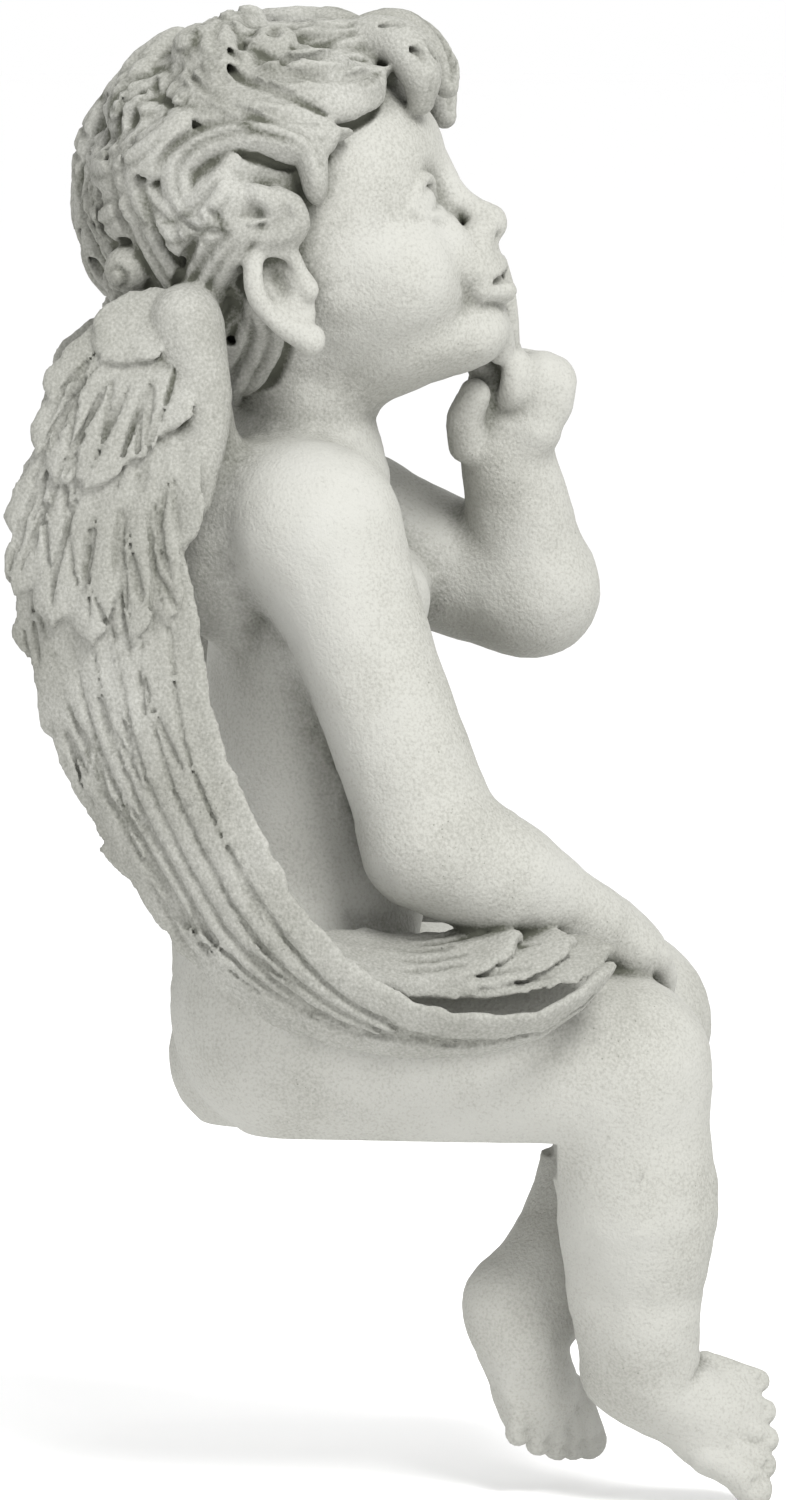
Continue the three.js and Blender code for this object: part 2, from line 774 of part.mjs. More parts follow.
// A wing: a rounded arm from the shoulder blade to the wrist, long feathers, and rows of short ones over them.
function wing(clay, side) {
  clay.add(ball(at(side * 34, -58, 182), [13, 13, 32]), 12);
  clay.add(
    limb([
      [at(side * 22, -48, 166), 13],
      [at(side * 36, -58, 196), 12],
      [at(side * 42, -62, 222), 12],
      [at(side * 45, -62, 240), 10.5],
    ]),
    4,
  );
  clay.add(
    limb([
      [at(side * 45, -64, 242), 9.5],
      [at(side * 51, -57, 220), 8],
      [at(side * 57, -57, 200), 5],
      [at(side * 60, -58, 188), 2.5],
    ]),
    4,
  );
  const long = {
    halfWidth: PRIMARY_HALF_WIDTH,
    thickness: PRIMARY_THICKNESS,
    lean: 0.16,
    steps: 16,
  };
  const ends = [
    [6.3, -1],
    [7.6, -1],
    [8.9, -0.95],
    [10, -0.8],
    [11, -0.45],
    [12, 0.1],
  ];
  ends.forEach((end, n) => {
    const across = -0.8 + (1.5 * n) / (ends.length - 1);
    plume(clay, side, [2.6, across], end, { ...long, lift: 0.9 * n });
  });
  const short = {
    halfWidth: COVERT_HALF_WIDTH,
    thickness: COVERT_THICKNESS,
    lean: 0.22,
    tip: 0.82,
  };
  for (const { lift, roots, tips } of COVERT_ROWS)
    tips.forEach((tip, n) => {
      const [first, last] = roots;
      const share = n / (tips.length - 1);
      const root = first.map((value, k) => value + (last[k] - value) * share);
      plume(clay, side, root, tip, { ...short, lift });
    });
  const edge = { ...short, halfWidth: COVERT_HALF_WIDTH - 2.2, lean: 0, lift: 1.2 };
  for (const reach of [3.6, 4.4, 4.8, 5.6, 6.3])
    plume(clay, side, [reach - 1.1, -0.6], [reach, -1.25], edge);
  tray(clay, side);
}

// The inner feathers at the wing's tip, which lie on the thigh as a shallow tray.
function tray(clay, side) {
  const layers = [
    [-16, 61, 15, 0],
    [-22, 50, 15, 2],
    [-24, 34, 14, 3.6],
  ];
  for (const [start, end, halfWidth, lift] of layers) {
    const line = [];
    const normals = [];
    for (let i = 0; i <= 6; i++) {
      const share = i / 6;
      line.push(
        at(
          side * (68 - 2 * share),
          start + (end - start) * share,
          56 + lift - 5 * Math.sin(Math.PI * share) + 3 * share,
        ),
      );
      normals.push(along(side * 0.42, 0, 0.9));
    }
    clay.add(blade(line, normals, halfWidth * PART, COVERT_THICKNESS, 0), 2);
  }
}

// The arm that hangs at the right side, with its hand on the thigh.
function restingArm(clay) {
  clay.add(ball(at(-43, -27, 182), [24, 24, 23]), 14);
  clay.add(
    limb([
      [at(-47, -22, 180), 21.5],
      [at(-53, -8, 140), 19.5],
      [at(-57, 9, 92), 20],
    ]),
    10,
  );
  clay.add(
    limb([
      [at(-57, 9, 89), 20.5],
      [at(-51, 32, 77), 18],
      [at(-38, 55, 64), 11],
    ]),
    4,
  );
  const place = frameAt(
    at(-37, 55, 64),
    along(0.68, 0.58, -0.3),
    along(-0.3, 0.3, 0.9),
    Side.RIGHT,
  );
  place.curl = -1;
  const bends = [
    [18, 22, 18],
    [22, 24, 20],
    [26, 26, 22],
    [30, 28, 22],
  ];
  hand(clay, place, bends, [
    [12, 4, -2],
    [18, 12, -3],
    [20, 19, -5],
  ]);
}

// The arm that is raised at the left side, with its fist below the chin and the forefinger up.
function raisedArm(clay) {
  clay.add(ball(at(45, -15, 176), [21, 21, 22]), 12);
  clay.add(
    limb([
      [at(47, -13, 176), 21],
      [at(42, 14, 164), 20.5],
      [at(34, 40, 157), 20],
    ]),
    6,
  );
  clay.add(
    limb([
      [at(34, 38, 158), 20],
      [at(28, 36, 178), 16.5],
      [at(21, 32, 200), 13.5],
    ]),
    5,
  );
  const place = frameAt(
    at(20, 32, 199),
    along(-0.1, 0.14, 0.98),
    along(0.95, -0.25, 0.05),
    Side.LEFT,
  );
  place.curl = 1;
  const bends = [
    [4, 6, 8],
    [80, 78, 40],
    [82, 80, 42],
    [84, 80, 40],
  ];
  hand(clay, place, bends, [
    [13, 2, -3],
    [16, 10, -6],
    [15, 18, -9],
  ]);
}

// The whole figure in clay. The seat is cut flat afterwards.
function figure() {
  const clay = new Clay(SPACE_LOW, SPACE_HIGH, FIELD_STEP);
  trunk(clay);
  const rightKnee = at(-37, 64, 20);
  const leftKnee = at(34, 66, 26);
  thigh(clay, Side.RIGHT, rightKnee);
  thigh(clay, Side.LEFT, leftKnee);
  clay.add(
    limb([
      [at(0, -44, 20), 25],
      [at(0, 16, 16), 23],
    ]),
    8,
  );
  clay.add(
    limb([
      [at(0, -30, 196), 27],
      [at(0, -29, 212), 22],
      [at(0, -27, 232), 23],
    ]),
    12,
  );
  const rightAnkle = at(-31, 72, -57);
  const leftAnkle = at(4, 45, -47);
  shin(clay, rightKnee, at(-35, 71, -24), rightAnkle, 23.5);
  shin(clay, leftKnee, at(20, 60, -18), leftAnkle, 18.5);
  foot(
    clay,
    rightAnkle,
    frameAt(
      at(-22, 66, -72),
      along(-0.1, 0.9, -0.43),
      along(-0.93, 0.1, 0.32),
      Side.LEFT,
    ),
  );
  foot(
    clay,
    leftAnkle,
    frameAt(
      at(-2, 31, -54),
      along(0.05, 0.36, -0.93),
      along(-0.72, 0.65, 0.22),
      Side.RIGHT,
    ),
  );
  restingArm(clay);
  raisedArm(clay);
  skull(clay);
  face(clay);
  hair(clay);
  ear(clay, Side.RIGHT);
  ear(clay, Side.LEFT);
  wing(clay, Side.RIGHT);
  wing(clay, Side.LEFT);
  return clay;
}

// The six tetrahedra of a grid cell: each walks from one corner to the far one along the three axes.
const WALKS = [
  [1, 3, 7],
  [1, 5, 7],
  [2, 3, 7],
  [2, 6, 7],
  [4, 5, 7],
  [4, 6, 7],
];

// The surface where the field is zero, as shared points and outward faces.
function surface(clay) {
  const [nx, ny, nz] = clay.counts;
  const { values, low, step } = clay;
  const offset = (corner) =>
    (corner & 1) + nx * (((corner >> 1) & 1) + ny * (corner >> 2));
  const offsets = [0, 1, 2, 3, 4, 5, 6, 7].map(offset);
  const points = [];
  const known = new Map();
  const place = (n) => {
    const i = n % nx;
    const j = Math.floor(n / nx) % ny;
    return [i, j, Math.floor(n / (nx * ny))];
  };
  const crossing = (cell, a, b) => {
    const from = cell + offsets[a];
    const key = from * 8 + (b ^ a);
    if (known.has(key)) return known.get(key);
    const to = cell + offsets[b];
    const exact = values[from] / (values[from] - values[to]);
    const t = Math.min(0.95, Math.max(0.05, exact));
    const p = place(from);
    const q = place(to);
    points.push(
      low.x + step * (p[0] + (q[0] - p[0]) * t),
      low.y + step * (p[1] + (q[1] - p[1]) * t),
      low.z + step * (p[2] + (q[2] - p[2]) * t),
    );
    known.set(key, points.length / 3 - 1);
    return points.length / 3 - 1;
  };
  const faces = [];
  const crossed = (cell, inner, outer) =>
    crossing(cell, Math.min(inner, outer), Math.max(inner, outer));
  const face = (cell, a, b, c, inner, outer) => {
    const [i, j, k] = place(inner);
    const [u, v, w] = place(outer);
    const p = (n, axis) => points[3 * n + axis];
    const ab = [0, 1, 2].map((axis) => p(b, axis) - p(a, axis));
    const ac = [0, 1, 2].map((axis) => p(c, axis) - p(a, axis));
    const facing =
      (ab[1] * ac[2] - ab[2] * ac[1]) * (u - i) +
      (ab[2] * ac[0] - ab[0] * ac[2]) * (v - j) +
      (ab[0] * ac[1] - ab[1] * ac[0]) * (w - k);
    if (facing > 0) faces.push(a, b, c);
    else faces.push(a, c, b);
  };
  for (let k = 0; k + 1 < nz; k++)
    for (let j = 0; j + 1 < ny; j++)
      for (let i = 0; i + 1 < nx; i++) {
        const cell = i + nx * (j + ny * k);
        let inside = 0;
        for (const shift of offsets) inside += values[cell + shift] < 0;
        if (inside === 0 || inside === 8) continue;
        for (const [first, second, third] of WALKS) {
          const corners = [0, first, second, third];
          const within = corners.filter((c) => values[cell + offsets[c]] < 0);
          const beyond = corners.filter((c) => values[cell + offsets[c]] >= 0);
          if (!within.length || !beyond.length) continue;
          const inner = cell + offsets[within[0]];
          const outer = cell + offsets[beyond[0]];
          if (within.length === 2) {
            const [a, b] = within;
            const [c, d] = beyond;
            const ring = [
              crossed(cell, a, c),
              crossed(cell, a, d),
              crossed(cell, b, d),
              crossed(cell, b, c),
            ];
            face(cell, ring[0], ring[1], ring[2], inner, outer);
            face(cell, ring[0], ring[2], ring[3], inner, outer);
            continue;
          }
          const ring = within.flatMap((a) =>
            beyond.map((b) => crossed(cell, a, b)),
          );
          face(cell, ring[0], ring[1], ring[2], inner, outer);
        }
      }
  return { points, faces };
}

// A list kept so that its cheapest entry comes off first.
class Queue {
  constructor() {
    this.entries = [];
  }

  push(entry) {
    const list = this.entries;
    let n = list.push(entry) - 1;
    while (n > 0) {
      const parent = (n - 1) >> 1;
      if (list[parent].cost <= entry.cost) break;
      list[n] = list[parent];
      n = parent;
    }
    list[n] = entry;
  }

  pop() {
    const list = this.entries;
    const top = list[0];
    const entry = list.pop();
    if (!list.length) return top;
    let n = 0;
    for (;;) {
      let child = 2 * n + 1;
      if (child >= list.length) break;
      if (child + 1 < list.length && list[child + 1].cost < list[child].cost)
        child++;
      if (list[child].cost >= entry.cost) break;
      list[n] = list[child];
      n = child;
    }
    list[n] = entry;
    return top;
  }
}

// Merges neighbouring points, the least noticeable first, until few enough faces are left.
// Each point keeps the sum of its squared distances to the planes of the faces that it has stood for.
function simplify({ points, faces }, target) {
  const count = points.length / 3;
  const corner = faces.slice();
  const alive = new Uint8Array(faces.length / 3).fill(1);
  const around = Array.from({ length: count }, () => new Set());
  const planes = new Float64Array(count * 10);
  const stamp = new Int32Array(count);
  const normalOf = (a, b, c) => {
    const ux = b[0] - a[0];
    const uy = b[1] - a[1];
    const uz = b[2] - a[2];
    const vx = c[0] - a[0];
    const vy = c[1] - a[1];
    const vz = c[2] - a[2];
    return [uy * vz - uz * vy, uz * vx - ux * vz, ux * vy - uy * vx];
  };
  const at3 = (n) => [points[3 * n], points[3 * n + 1], points[3 * n + 2]];
  for (let f = 0; f < alive.length; f++) {
    const ids = [corner[3 * f], corner[3 * f + 1], corner[3 * f + 2]];
    const [a, b, c] = ids.map(at3);
    const n = normalOf(a, b, c);
    const size = Math.hypot(...n) || 1e-12;
    const plane = [n[0] / size, n[1] / size, n[2] / size];
    plane.push(-(plane[0] * a[0] + plane[1] * a[1] + plane[2] * a[2]));
    for (const id of ids) {
      around[id].add(f);
      let slot = 10 * id;
      for (let i = 0; i < 4; i++)
        for (let j = i; j < 4; j++)
          planes[slot++] += plane[i] * plane[j] * (size / 2);
    }
  }
  const errorAt = (q, [x, y, z]) =>
    q[0] * x * x +
    2 * q[1] * x * y +
    2 * q[2] * x * z +
    2 * q[3] * x +
    q[4] * y * y +
    2 * q[5] * y * z +
    2 * q[6] * y +
    q[7] * z * z +
    2 * q[8] * z +
    q[9];
  const meeting = (a, b) => {
    const q = new Float64Array(10);
    for (let i = 0; i < 10; i++) q[i] = planes[10 * a + i] + planes[10 * b + i];
    const pull = 1e-3 * (q[0] + q[4] + q[7]) + 1e-9;
    const middle = at3(a).map((v, i) => (v + points[3 * b + i]) / 2);
    const m = new THREE.Matrix3(
      q[0] + pull,
      q[1],
      q[2],
      q[1],
      q[4] + pull,
      q[5],
      q[2],
      q[5],
      q[7] + pull,
    ).invert();
    const solved = new THREE.Vector3(
      pull * middle[0] - q[3],
      pull * middle[1] - q[6],
      pull * middle[2] - q[8],
    ).applyMatrix3(m);
    return { spot: solved.toArray(), cost: Math.max(0, errorAt(q, solved.toArray())) };
  };
  const queue = new Queue();
  const offer = (a, b) => {
    const { spot, cost } = meeting(a, b);
    queue.push({ cost, a, b, spot, stamps: stamp[a] + stamp[b] });
  };
  const neighbours = (n) => {
    const found = new Set();
    for (const f of around[n])
      for (let i = 0; i < 3; i++)
        if (corner[3 * f + i] !== n) found.add(corner[3 * f + i]);
    return found;
  };
  for (let f = 0; f < alive.length; f++)
    for (let i = 0; i < 3; i++) {
      const a = corner[3 * f + i];
      const b = corner[3 * f + ((i + 1) % 3)];
      if (a < b) offer(a, b);
    }
  const folds = (moved, other, spot) => {
    for (const f of around[moved]) {
      const ids = [corner[3 * f], corner[3 * f + 1], corner[3 * f + 2]];
      if (ids.includes(other)) continue;
      const before = normalOf(...ids.map(at3));
      const after = normalOf(...ids.map((id) => (id === moved ? spot : at3(id))));
      const dot =
        before[0] * after[0] + before[1] * after[1] + before[2] * after[2];
      if (dot < 0.25 * Math.hypot(...before) * Math.hypot(...after)) return true;
    }
    return false;
  };
  let left = alive.length;
  while (left > target && queue.entries.length) {
    const { a, b, spot, stamps } = queue.pop();
    if (!around[a].size || !around[b].size) continue;
    if (stamps !== stamp[a] + stamp[b]) continue;
    const nearA = neighbours(a);
    if (!nearA.has(b)) continue;
    const nearB = neighbours(b);
    let shared = 0;
    for (const n of nearA) shared += nearB.has(n);
    if (shared !== 2 || folds(a, b, spot) || folds(b, a, spot)) continue;
    for (const f of [...around[b]]) {
      const ids = [corner[3 * f], corner[3 * f + 1], corner[3 * f + 2]];
      if (ids.includes(a)) {
        alive[f] = 0;
        left--;
        for (const id of ids) around[id].delete(f);
      } else {
        corner[3 * f + ids.indexOf(b)] = a;
        around[a].add(f);
      }
    }
    around[b].clear();
    for (let i = 0; i < 3; i++) points[3 * a + i] = spot[i];
    for (let i = 0; i < 10; i++) planes[10 * a + i] += planes[10 * b + i];
    stamp[a] += stamp[b] + 1;
    for (const n of neighbours(a)) offer(a, n);
  }
  const kept = [];
  for (let f = 0; f < alive.length; f++)
    if (alive[f]) kept.push(corner[3 * f], corner[3 * f + 1], corner[3 * f + 2]);
  return { points, faces: kept };
}

// The points that the faces use, numbered afresh.
function geometryOf({ points, faces }) {
  const numbers = new Map();
  const used = [];
  const index = faces.map((n) => {
    if (!numbers.has(n)) {
      numbers.set(n, numbers.size);
      used.push(points[3 * n], points[3 * n + 1], points[3 * n + 2]);
    }
    return numbers.get(n);
  });
  const geometry = new THREE.BufferGeometry();
  geometry.setAttribute(
    "position",
    new THREE.BufferAttribute(new Float32Array(used), 3),
  );
  geometry.setIndex(index);
  return geometry;
}

function solidOf(geometry) {
  return new wasm.Manifold(
    new wasm.Mesh({
      numProp: 3,
      vertProperties: new Float32Array(geometry.getAttribute("position").array),
      triVerts: new Uint32Array(geometry.index.array),
    }),
  );
}

// The largest body of a solid: crumbs thinner than the field's step are left out.
function mainBody(solid) {
  return solid
    .decompose()
    .reduce((most, body) => (body.volume() > most.volume() ? body : most));
}

// The shelf's own space: taking it away leaves the flat underside that the figure sits on.
function shelfSpace() {
  const drop = 12 * PART;
  const width = SPACE_HIGH.x - SPACE_LOW.x;
  const box = new THREE.BoxGeometry(width, SEAT_BACK + SEAT_FRONT, drop);
  box.deleteAttribute("normal");
  box.deleteAttribute("uv");
  box.translate(0, (SEAT_BACK - SEAT_FRONT) / 2, -drop / 2);
  return solidOf(mergeVertices(box, 1e-4));
}

function statue() {
  const skin = simplify(surface(figure()), TRIANGLES);
  const body = mainBody(solidOf(geometryOf(skin)).subtract(shelfSpace()));
  const mesh = body.getMesh();
  const geometry = new THREE.BufferGeometry();
  geometry.setAttribute(
    "position",
    new THREE.BufferAttribute(mesh.vertProperties, 3),
  );
  geometry.setIndex(new THREE.BufferAttribute(mesh.triVerts, 1));
  geometry.computeVertexNormals();
  return geometry;
}

const stone = new THREE.MeshStandardMaterial({
  name: "aged_stone",
  color: 0xcfcfc6,
  roughness: 0.85,
  metalness: 0,
});

const figureMesh = new THREE.Mesh(statue(), stone);
figureMesh.name = "angel_statue";

const angel = new THREE.Group();
angel.add(figureMesh);

export default angel;
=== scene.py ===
"""A cast stone cherub with folded wings that sits on the edge of a shelf.

The figure faces -Y, its left side is +X, and the flat underside that it sits on lies at z = 0, as in the
CAD frame. It is modelled as a caster would: clay masses for the body, locks for the hair and blades for the
feathers are laid into one field of distances, the grooves are cut into it, and the surface is taken off as
one closed mesh. Lengths are in millimetres until the mesh is made.
"""

import logging
import math
from dataclasses import dataclass, field
from enum import Enum
from typing import Callable, Protocol, Sequence

import bpy
import numpy as np
import openvdb
from mathutils import Euler, Matrix, Vector


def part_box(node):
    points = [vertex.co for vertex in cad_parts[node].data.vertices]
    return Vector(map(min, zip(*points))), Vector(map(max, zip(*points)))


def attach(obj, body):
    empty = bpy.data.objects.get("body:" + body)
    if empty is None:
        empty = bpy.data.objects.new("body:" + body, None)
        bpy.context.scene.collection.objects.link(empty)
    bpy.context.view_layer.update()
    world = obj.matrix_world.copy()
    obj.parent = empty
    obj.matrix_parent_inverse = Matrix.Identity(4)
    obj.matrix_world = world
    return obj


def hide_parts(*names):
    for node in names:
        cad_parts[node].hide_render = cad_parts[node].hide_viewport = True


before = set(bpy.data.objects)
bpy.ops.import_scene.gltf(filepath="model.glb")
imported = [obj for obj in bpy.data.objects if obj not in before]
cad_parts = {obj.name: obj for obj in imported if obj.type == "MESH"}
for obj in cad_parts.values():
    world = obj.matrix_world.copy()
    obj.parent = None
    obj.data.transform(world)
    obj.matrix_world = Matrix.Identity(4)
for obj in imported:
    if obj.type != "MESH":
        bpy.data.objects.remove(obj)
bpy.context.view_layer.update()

logging.basicConfig(level=logging.INFO, format="%(message)s")
log = logging.getLogger("angel")

NODE = "angel_statue"
FIGURE_HEIGHT = 438.0
PART = FIGURE_HEIGHT / 438.0
GRID_STEP = 0.92
TRIANGLES = 194_000
MM_PER_M = 1000
CLAY_LOW = (-104, 122, -118)
CLAY_HIGH = (104, -130, 346)
FAR = 40.0
SEAT_FRONT = 46.5
SEAT_BACK = 74.0
SEAT_HALF_WIDTH = 75.0
SEAT_DROP = 12.0
SEED = 20

GROOVE_END = 0.45
GROOVE_DIP = 0.35
GROOVE_ROUNDING = 0.5
# How far into a groove the painted shade reaches.
GROOVE_SHADE_REACH = 0.2
PROBE_STEP = 0.3
LINE_PIECES = 3

BLADE_ROOT = 0.25
BLADE_ROOT_PINCH = 0.35
BLADE_TIP_LEAST = 0.02
BLADE_THINNING = 0.25
RIDGE_HALF_WIDTH = 1.3

NodeTree = bpy.types.NodeTree
NodeSocket = bpy.types.NodeSocket
Array = np.ndarray
Point = tuple[float, float, float]
Place = tuple[float, float]


class Side(Enum):
    """The figure's own right and left."""

    RIGHT = -1
    LEFT = 1


SIDES = tuple(side.value for side in Side)


@dataclass(frozen=True)
class StoneFinish:
    """Colours and grain of the aged casting, with the dark colour of its dirt and painted shade."""

    light: tuple[float, float, float] = (0.385, 0.384, 0.362)
    warm: tuple[float, float, float] = (0.31, 0.308, 0.275)
    # The dark colour of both dirt and the painted shade in hollows and grooves.
    dirt_and_painted_shade: tuple[float, float, float] = (0.075, 0.077, 0.06)
    roughness: float = 0.86
    specular: float = 0.25
    clouds_per_metre: float = 26.0
    grain_per_metre: float = 900.0
    pits_per_metre: float = 620.0
    specks_per_metre: float = 1100.0
    wash_in_clouds: float = 0.55
    darkening_on_carving: float = 0.26
    painted_shade_in_grooves: float = 0.7
    wash_in_specks: float = 0.8
    darkening_start: float = 0.64
    darkening_gain: float = 1.1
    pit_growth: float = 0.5
    pit_least: float = -0.16
    pitted_from: float = 0.6
    pit_tint: float = 0.5
    pit_depth: float = -0.6
    bump_strength: float = 0.6
    bump_height: float = 0.0006


STONE = StoneFinish()


def at(side: float, forward: float, up: float) -> Array:
    """A point of the figure.

    Args:
        side: distance to the figure's left.
        forward: distance to its front.
        up: height above the seat.

    Returns:
        The point in the row frame, in millimetres.
    """
    return np.array((side, -forward, up), float) * PART


def along(side: float, forward: float, up: float) -> Array:
    """A unit vector, given as at() gives a point."""
    return unit(np.array((side, -forward, up), float))


def unit(vector: Array) -> Array:
    """The vector at length one."""
    return vector / np.linalg.norm(vector)


def chance(n: int, k: int) -> float:
    """A repeatable share between 0 and 1 that looks like chance, for the nth thing and its kth choice."""
    value = math.sin(n * 12.9898 + k * 78.233) * 43758.5453
    return value - math.floor(value)


def melt(a: Array, b: Array, blend: float) -> Array:
    """A smooth least value, which runs two surfaces together like wet clay."""
    share = np.maximum(blend - np.abs(a - b), 0.0) / blend
    return np.minimum(a, b) - share * share * (blend / 4)


def curve_through(points: Sequence[Array], pieces: int) -> Array:
    """A smooth line through points, cut into straight pieces.

    Args:
        points: the points that it passes through.
        pieces: how many straight pieces each span has.

    Returns:
        The line's points, one row each.
    """
    pts = [np.asarray(p, float) for p in points]
    ends = [2 * pts[0] - pts[1], *pts, 2 * pts[-1] - pts[-2]]
    line = []
    for i in range(len(pts) - 1):
        p0, p1, p2, p3 = ends[i : i + 4]
        gaps = [math.sqrt(max(np.linalg.norm(b - a), 1e-4)) for a, b in ((p0, p1), (p1, p2), (p2, p3))]
        d0, d1, d2 = gaps
        m1 = d1 * ((p1 - p0) / d0 - (p2 - p0) / (d0 + d1) + (p2 - p1) / d1)
        m2 = d1 * ((p2 - p1) / d1 - (p3 - p1) / (d1 + d2) + (p3 - p2) / d2)
        for k in range(pieces):
            t = k / pieces
            line.append(
                p1 + t * m1 + t * t * (3 * (p2 - p1) - 2 * m1 - m2) + t**3 * (2 * (p1 - p2) + m1 + m2)
            )
    line.append(pts[-1])
    return np.array(line)


@dataclass
class Block:
    """A box of grid points: its coordinates along each axis."""

    x: Array
    y: Array
    z: Array

    @property
    def shape(self) -> tuple[int, int, int]:
        return len(self.x), len(self.y), len(self.z)

    def near(self, low: Array, high: Array) -> tuple[slice, slice, slice]:
        """The slices of the block's points between two corners."""
        slices = []
        for axis, a, b in zip((self.x, self.y, self.z), low, high):
            slices.append(slice(int(np.searchsorted(axis, a)), int(np.searchsorted(axis, b, "right"))))
        return tuple(slices)

    def open(self, cut: tuple[slice, slice, slice] = (slice(None),) * 3) -> tuple[Array, Array, Array]:
        """Coordinates that spread over the block when they are added up."""
        return self.x[cut[0], None, None], self.y[None, cut[1], None], self.z[None, None, cut[2]]


@dataclass
class Ball:
    """An egg-shaped mass with radii across, forward and up before it is turned."""

    centre: Array
    radii: Point
    turn: Matrix = field(default_factory=lambda: Matrix.Identity(3))

    def bounds(self) -> tuple[Array, Array]:
        reach = max(self.radii) * PART
        return self.centre - reach, self.centre + reach

    def distance(self, block: Block, reach: float) -> Array:
        x, y, z = block.open()
        turn = np.array(self.turn)
        offset = (x - self.centre[0], y - self.centre[1], z - self.centre[2])
        own = [sum(turn[row][k] * offset[row] for row in range(3)) for k in range(3)]
        a, b, c = (radius * PART for radius in self.radii)
        u, v, w = own[0] / a, own[1] / b, own[2] / c
        size = np.sqrt(u * u + v * v + w * w)
        slope = np.sqrt((u / a) ** 2 + (v / b) ** 2 + (w / c) ** 2)
        return size * (size - 1) / np.maximum(slope, 1e-9)


def nearest(line: Array, block: Block, margin: float) -> tuple[Array, Array]:
    """Where each grid point lies beside a line of straight pieces.

    Args:
        line: the line's points.
        block: the grid points.
        margin: how far from the line the answer matters.

    Returns:
        The gap to the line, and the place along it counted in pieces.
    """
    gap = np.full(block.shape, FAR * 4, np.float32)
    place = np.zeros(block.shape, np.float32)
    for i in range(len(line) - 1):
        p, q = line[i], line[i + 1]
        cut = block.near(np.minimum(p, q) - margin, np.maximum(p, q) + margin)
        if any(s.start >= s.stop for s in cut):
            continue
        x, y, z = block.open(cut)
        u = q - p
        length = max(float(u @ u), 1e-9)
        t = np.clip(((x - p[0]) * u[0] + (y - p[1]) * u[1] + (z - p[2]) * u[2]) / length, 0, 1)
        d = (x - p[0] - t * u[0]) ** 2 + (y - p[1] - t * u[1]) ** 2 + (z - p[2] - t * u[2]) ** 2
        d = np.sqrt(d).astype(np.float32)
        old = gap[cut]
        better = d < old
        gap[cut] = np.where(better, d, old)
        place[cut] = np.where(better, (i + t).astype(np.float32), place[cut])
    return gap, place


@dataclass
class Limb:
    """A rounded limb along a smooth line through its stations, each (point, radius)."""

    stations: Sequence[tuple[Array, float]]
    pieces: int = 4

    def __post_init__(self) -> None:
        self.line = curve_through([point for point, _ in self.stations], self.pieces)
        self.radii = np.array([radius * PART for _, radius in self.stations])

    def bounds(self) -> tuple[Array, Array]:
        reach = self.radii.max()
        return self.line.min(0) - reach, self.line.max(0) + reach

    def distance(self, block: Block, reach: float) -> Array:
        gap, place = nearest(self.line, block, self.radii.max() + reach)
        radius = np.interp(place, np.arange(len(self.radii)) * self.pieces, self.radii)
        return gap - radius


@dataclass
class Blade:
    """A feather: a thin blade with a rounded tip along a line, facing the way its normals do."""

    line: Array
    normals: Array
    half_width: float
    thickness: float
    lean: float = 0.0
    ridge: float = 0.0
    tip: float = 0.76

    def __post_init__(self) -> None:
        self.tangents = np.gradient(self.line, axis=0)
        self.tangents /= np.linalg.norm(self.tangents, axis=1, keepdims=True)
        self.across = np.cross(self.tangents, self.normals)
        self.across /= np.linalg.norm(self.across, axis=1, keepdims=True)

    def bounds(self) -> tuple[Array, Array]:
        reach = self.half_width + self.thickness
        return self.line.min(0) - reach, self.line.max(0) + reach

    def width(self, share: Array) -> Array:
        """Half the blade's width at a share of its length."""
        tip = np.maximum(0, (share - self.tip) / (1 - self.tip))
        root = np.maximum(0, (BLADE_ROOT - share) / BLADE_ROOT)
        rounding = np.sqrt(np.maximum(BLADE_TIP_LEAST, 1 - tip * tip))
        return self.half_width * rounding * (1 - BLADE_ROOT_PINCH * root)

    def half(self, share: Array) -> Array:
        """Half the blade's thickness at a share of its length."""
        return (self.thickness / 2) * (1 - BLADE_THINNING * share)

    def face(self, share: float, b: float) -> Array:
        """A point on the blade's outer face, b to the side of its shaft."""
        share = min(share, 0.99)
        last = len(self.line) - 1
        i = min(int(share * last), last - 1)
        t = share * last - i
        base = self.line[i] * (1 - t) + self.line[i + 1] * t
        inside = max(0.0, 1 - (b / float(self.width(share))) ** 2)
        n = self.lean * b + float(self.half(share)) * math.sqrt(inside)
        return base + self.across[i] * b + self.normals[i] * n

    def distance(self, block: Block, reach: float) -> Array:
        margin = self.half_width + reach
        gap, place = nearest(self.line, block, margin)
        out = np.full(block.shape, FAR, np.float32)
        near = np.nonzero(gap < margin)
        if not len(near[0]):
            return out
        where = place[near]
        last = len(self.line) - 1
        i = np.minimum(where.astype(int), last - 1)
        t = (where - i)[:, None]
        share = where / last
        offset = np.stack((block.x[near[0]], block.y[near[1]], block.z[near[2]]), 1)
        offset = offset - (self.line[i] * (1 - t) + self.line[i + 1] * t)

        def part(vectors: Array) -> Array:
            return (offset * (vectors[i] * (1 - t) + vectors[i + 1] * t)).sum(1)

        b = part(self.across)
        n = part(self.normals) - self.lean * b
        end = part(self.tangents)
        tip = np.maximum(0, (share - self.tip) / (1 - self.tip))
        width = self.width(share)
        half = self.half(share)
        ridge = self.ridge * np.exp(-((b / RIDGE_HALF_WIDTH) ** 2)) * (1 - tip)
        size = np.sqrt((b / width) ** 2 + ((n - ridge) / half) ** 2 + (end / half) ** 2)
        out[near] = (size - 1) * half
        return out


class Shape(Protocol):
    """Anything that can be added to the clay or cut from it."""

    def bounds(self) -> tuple[Array, Array]:
        """The corners of the box round it."""

    def distance(self, block: Block, reach: float) -> Array:
        """The distance of grid points to its skin, negative inside, as far out as the reach."""


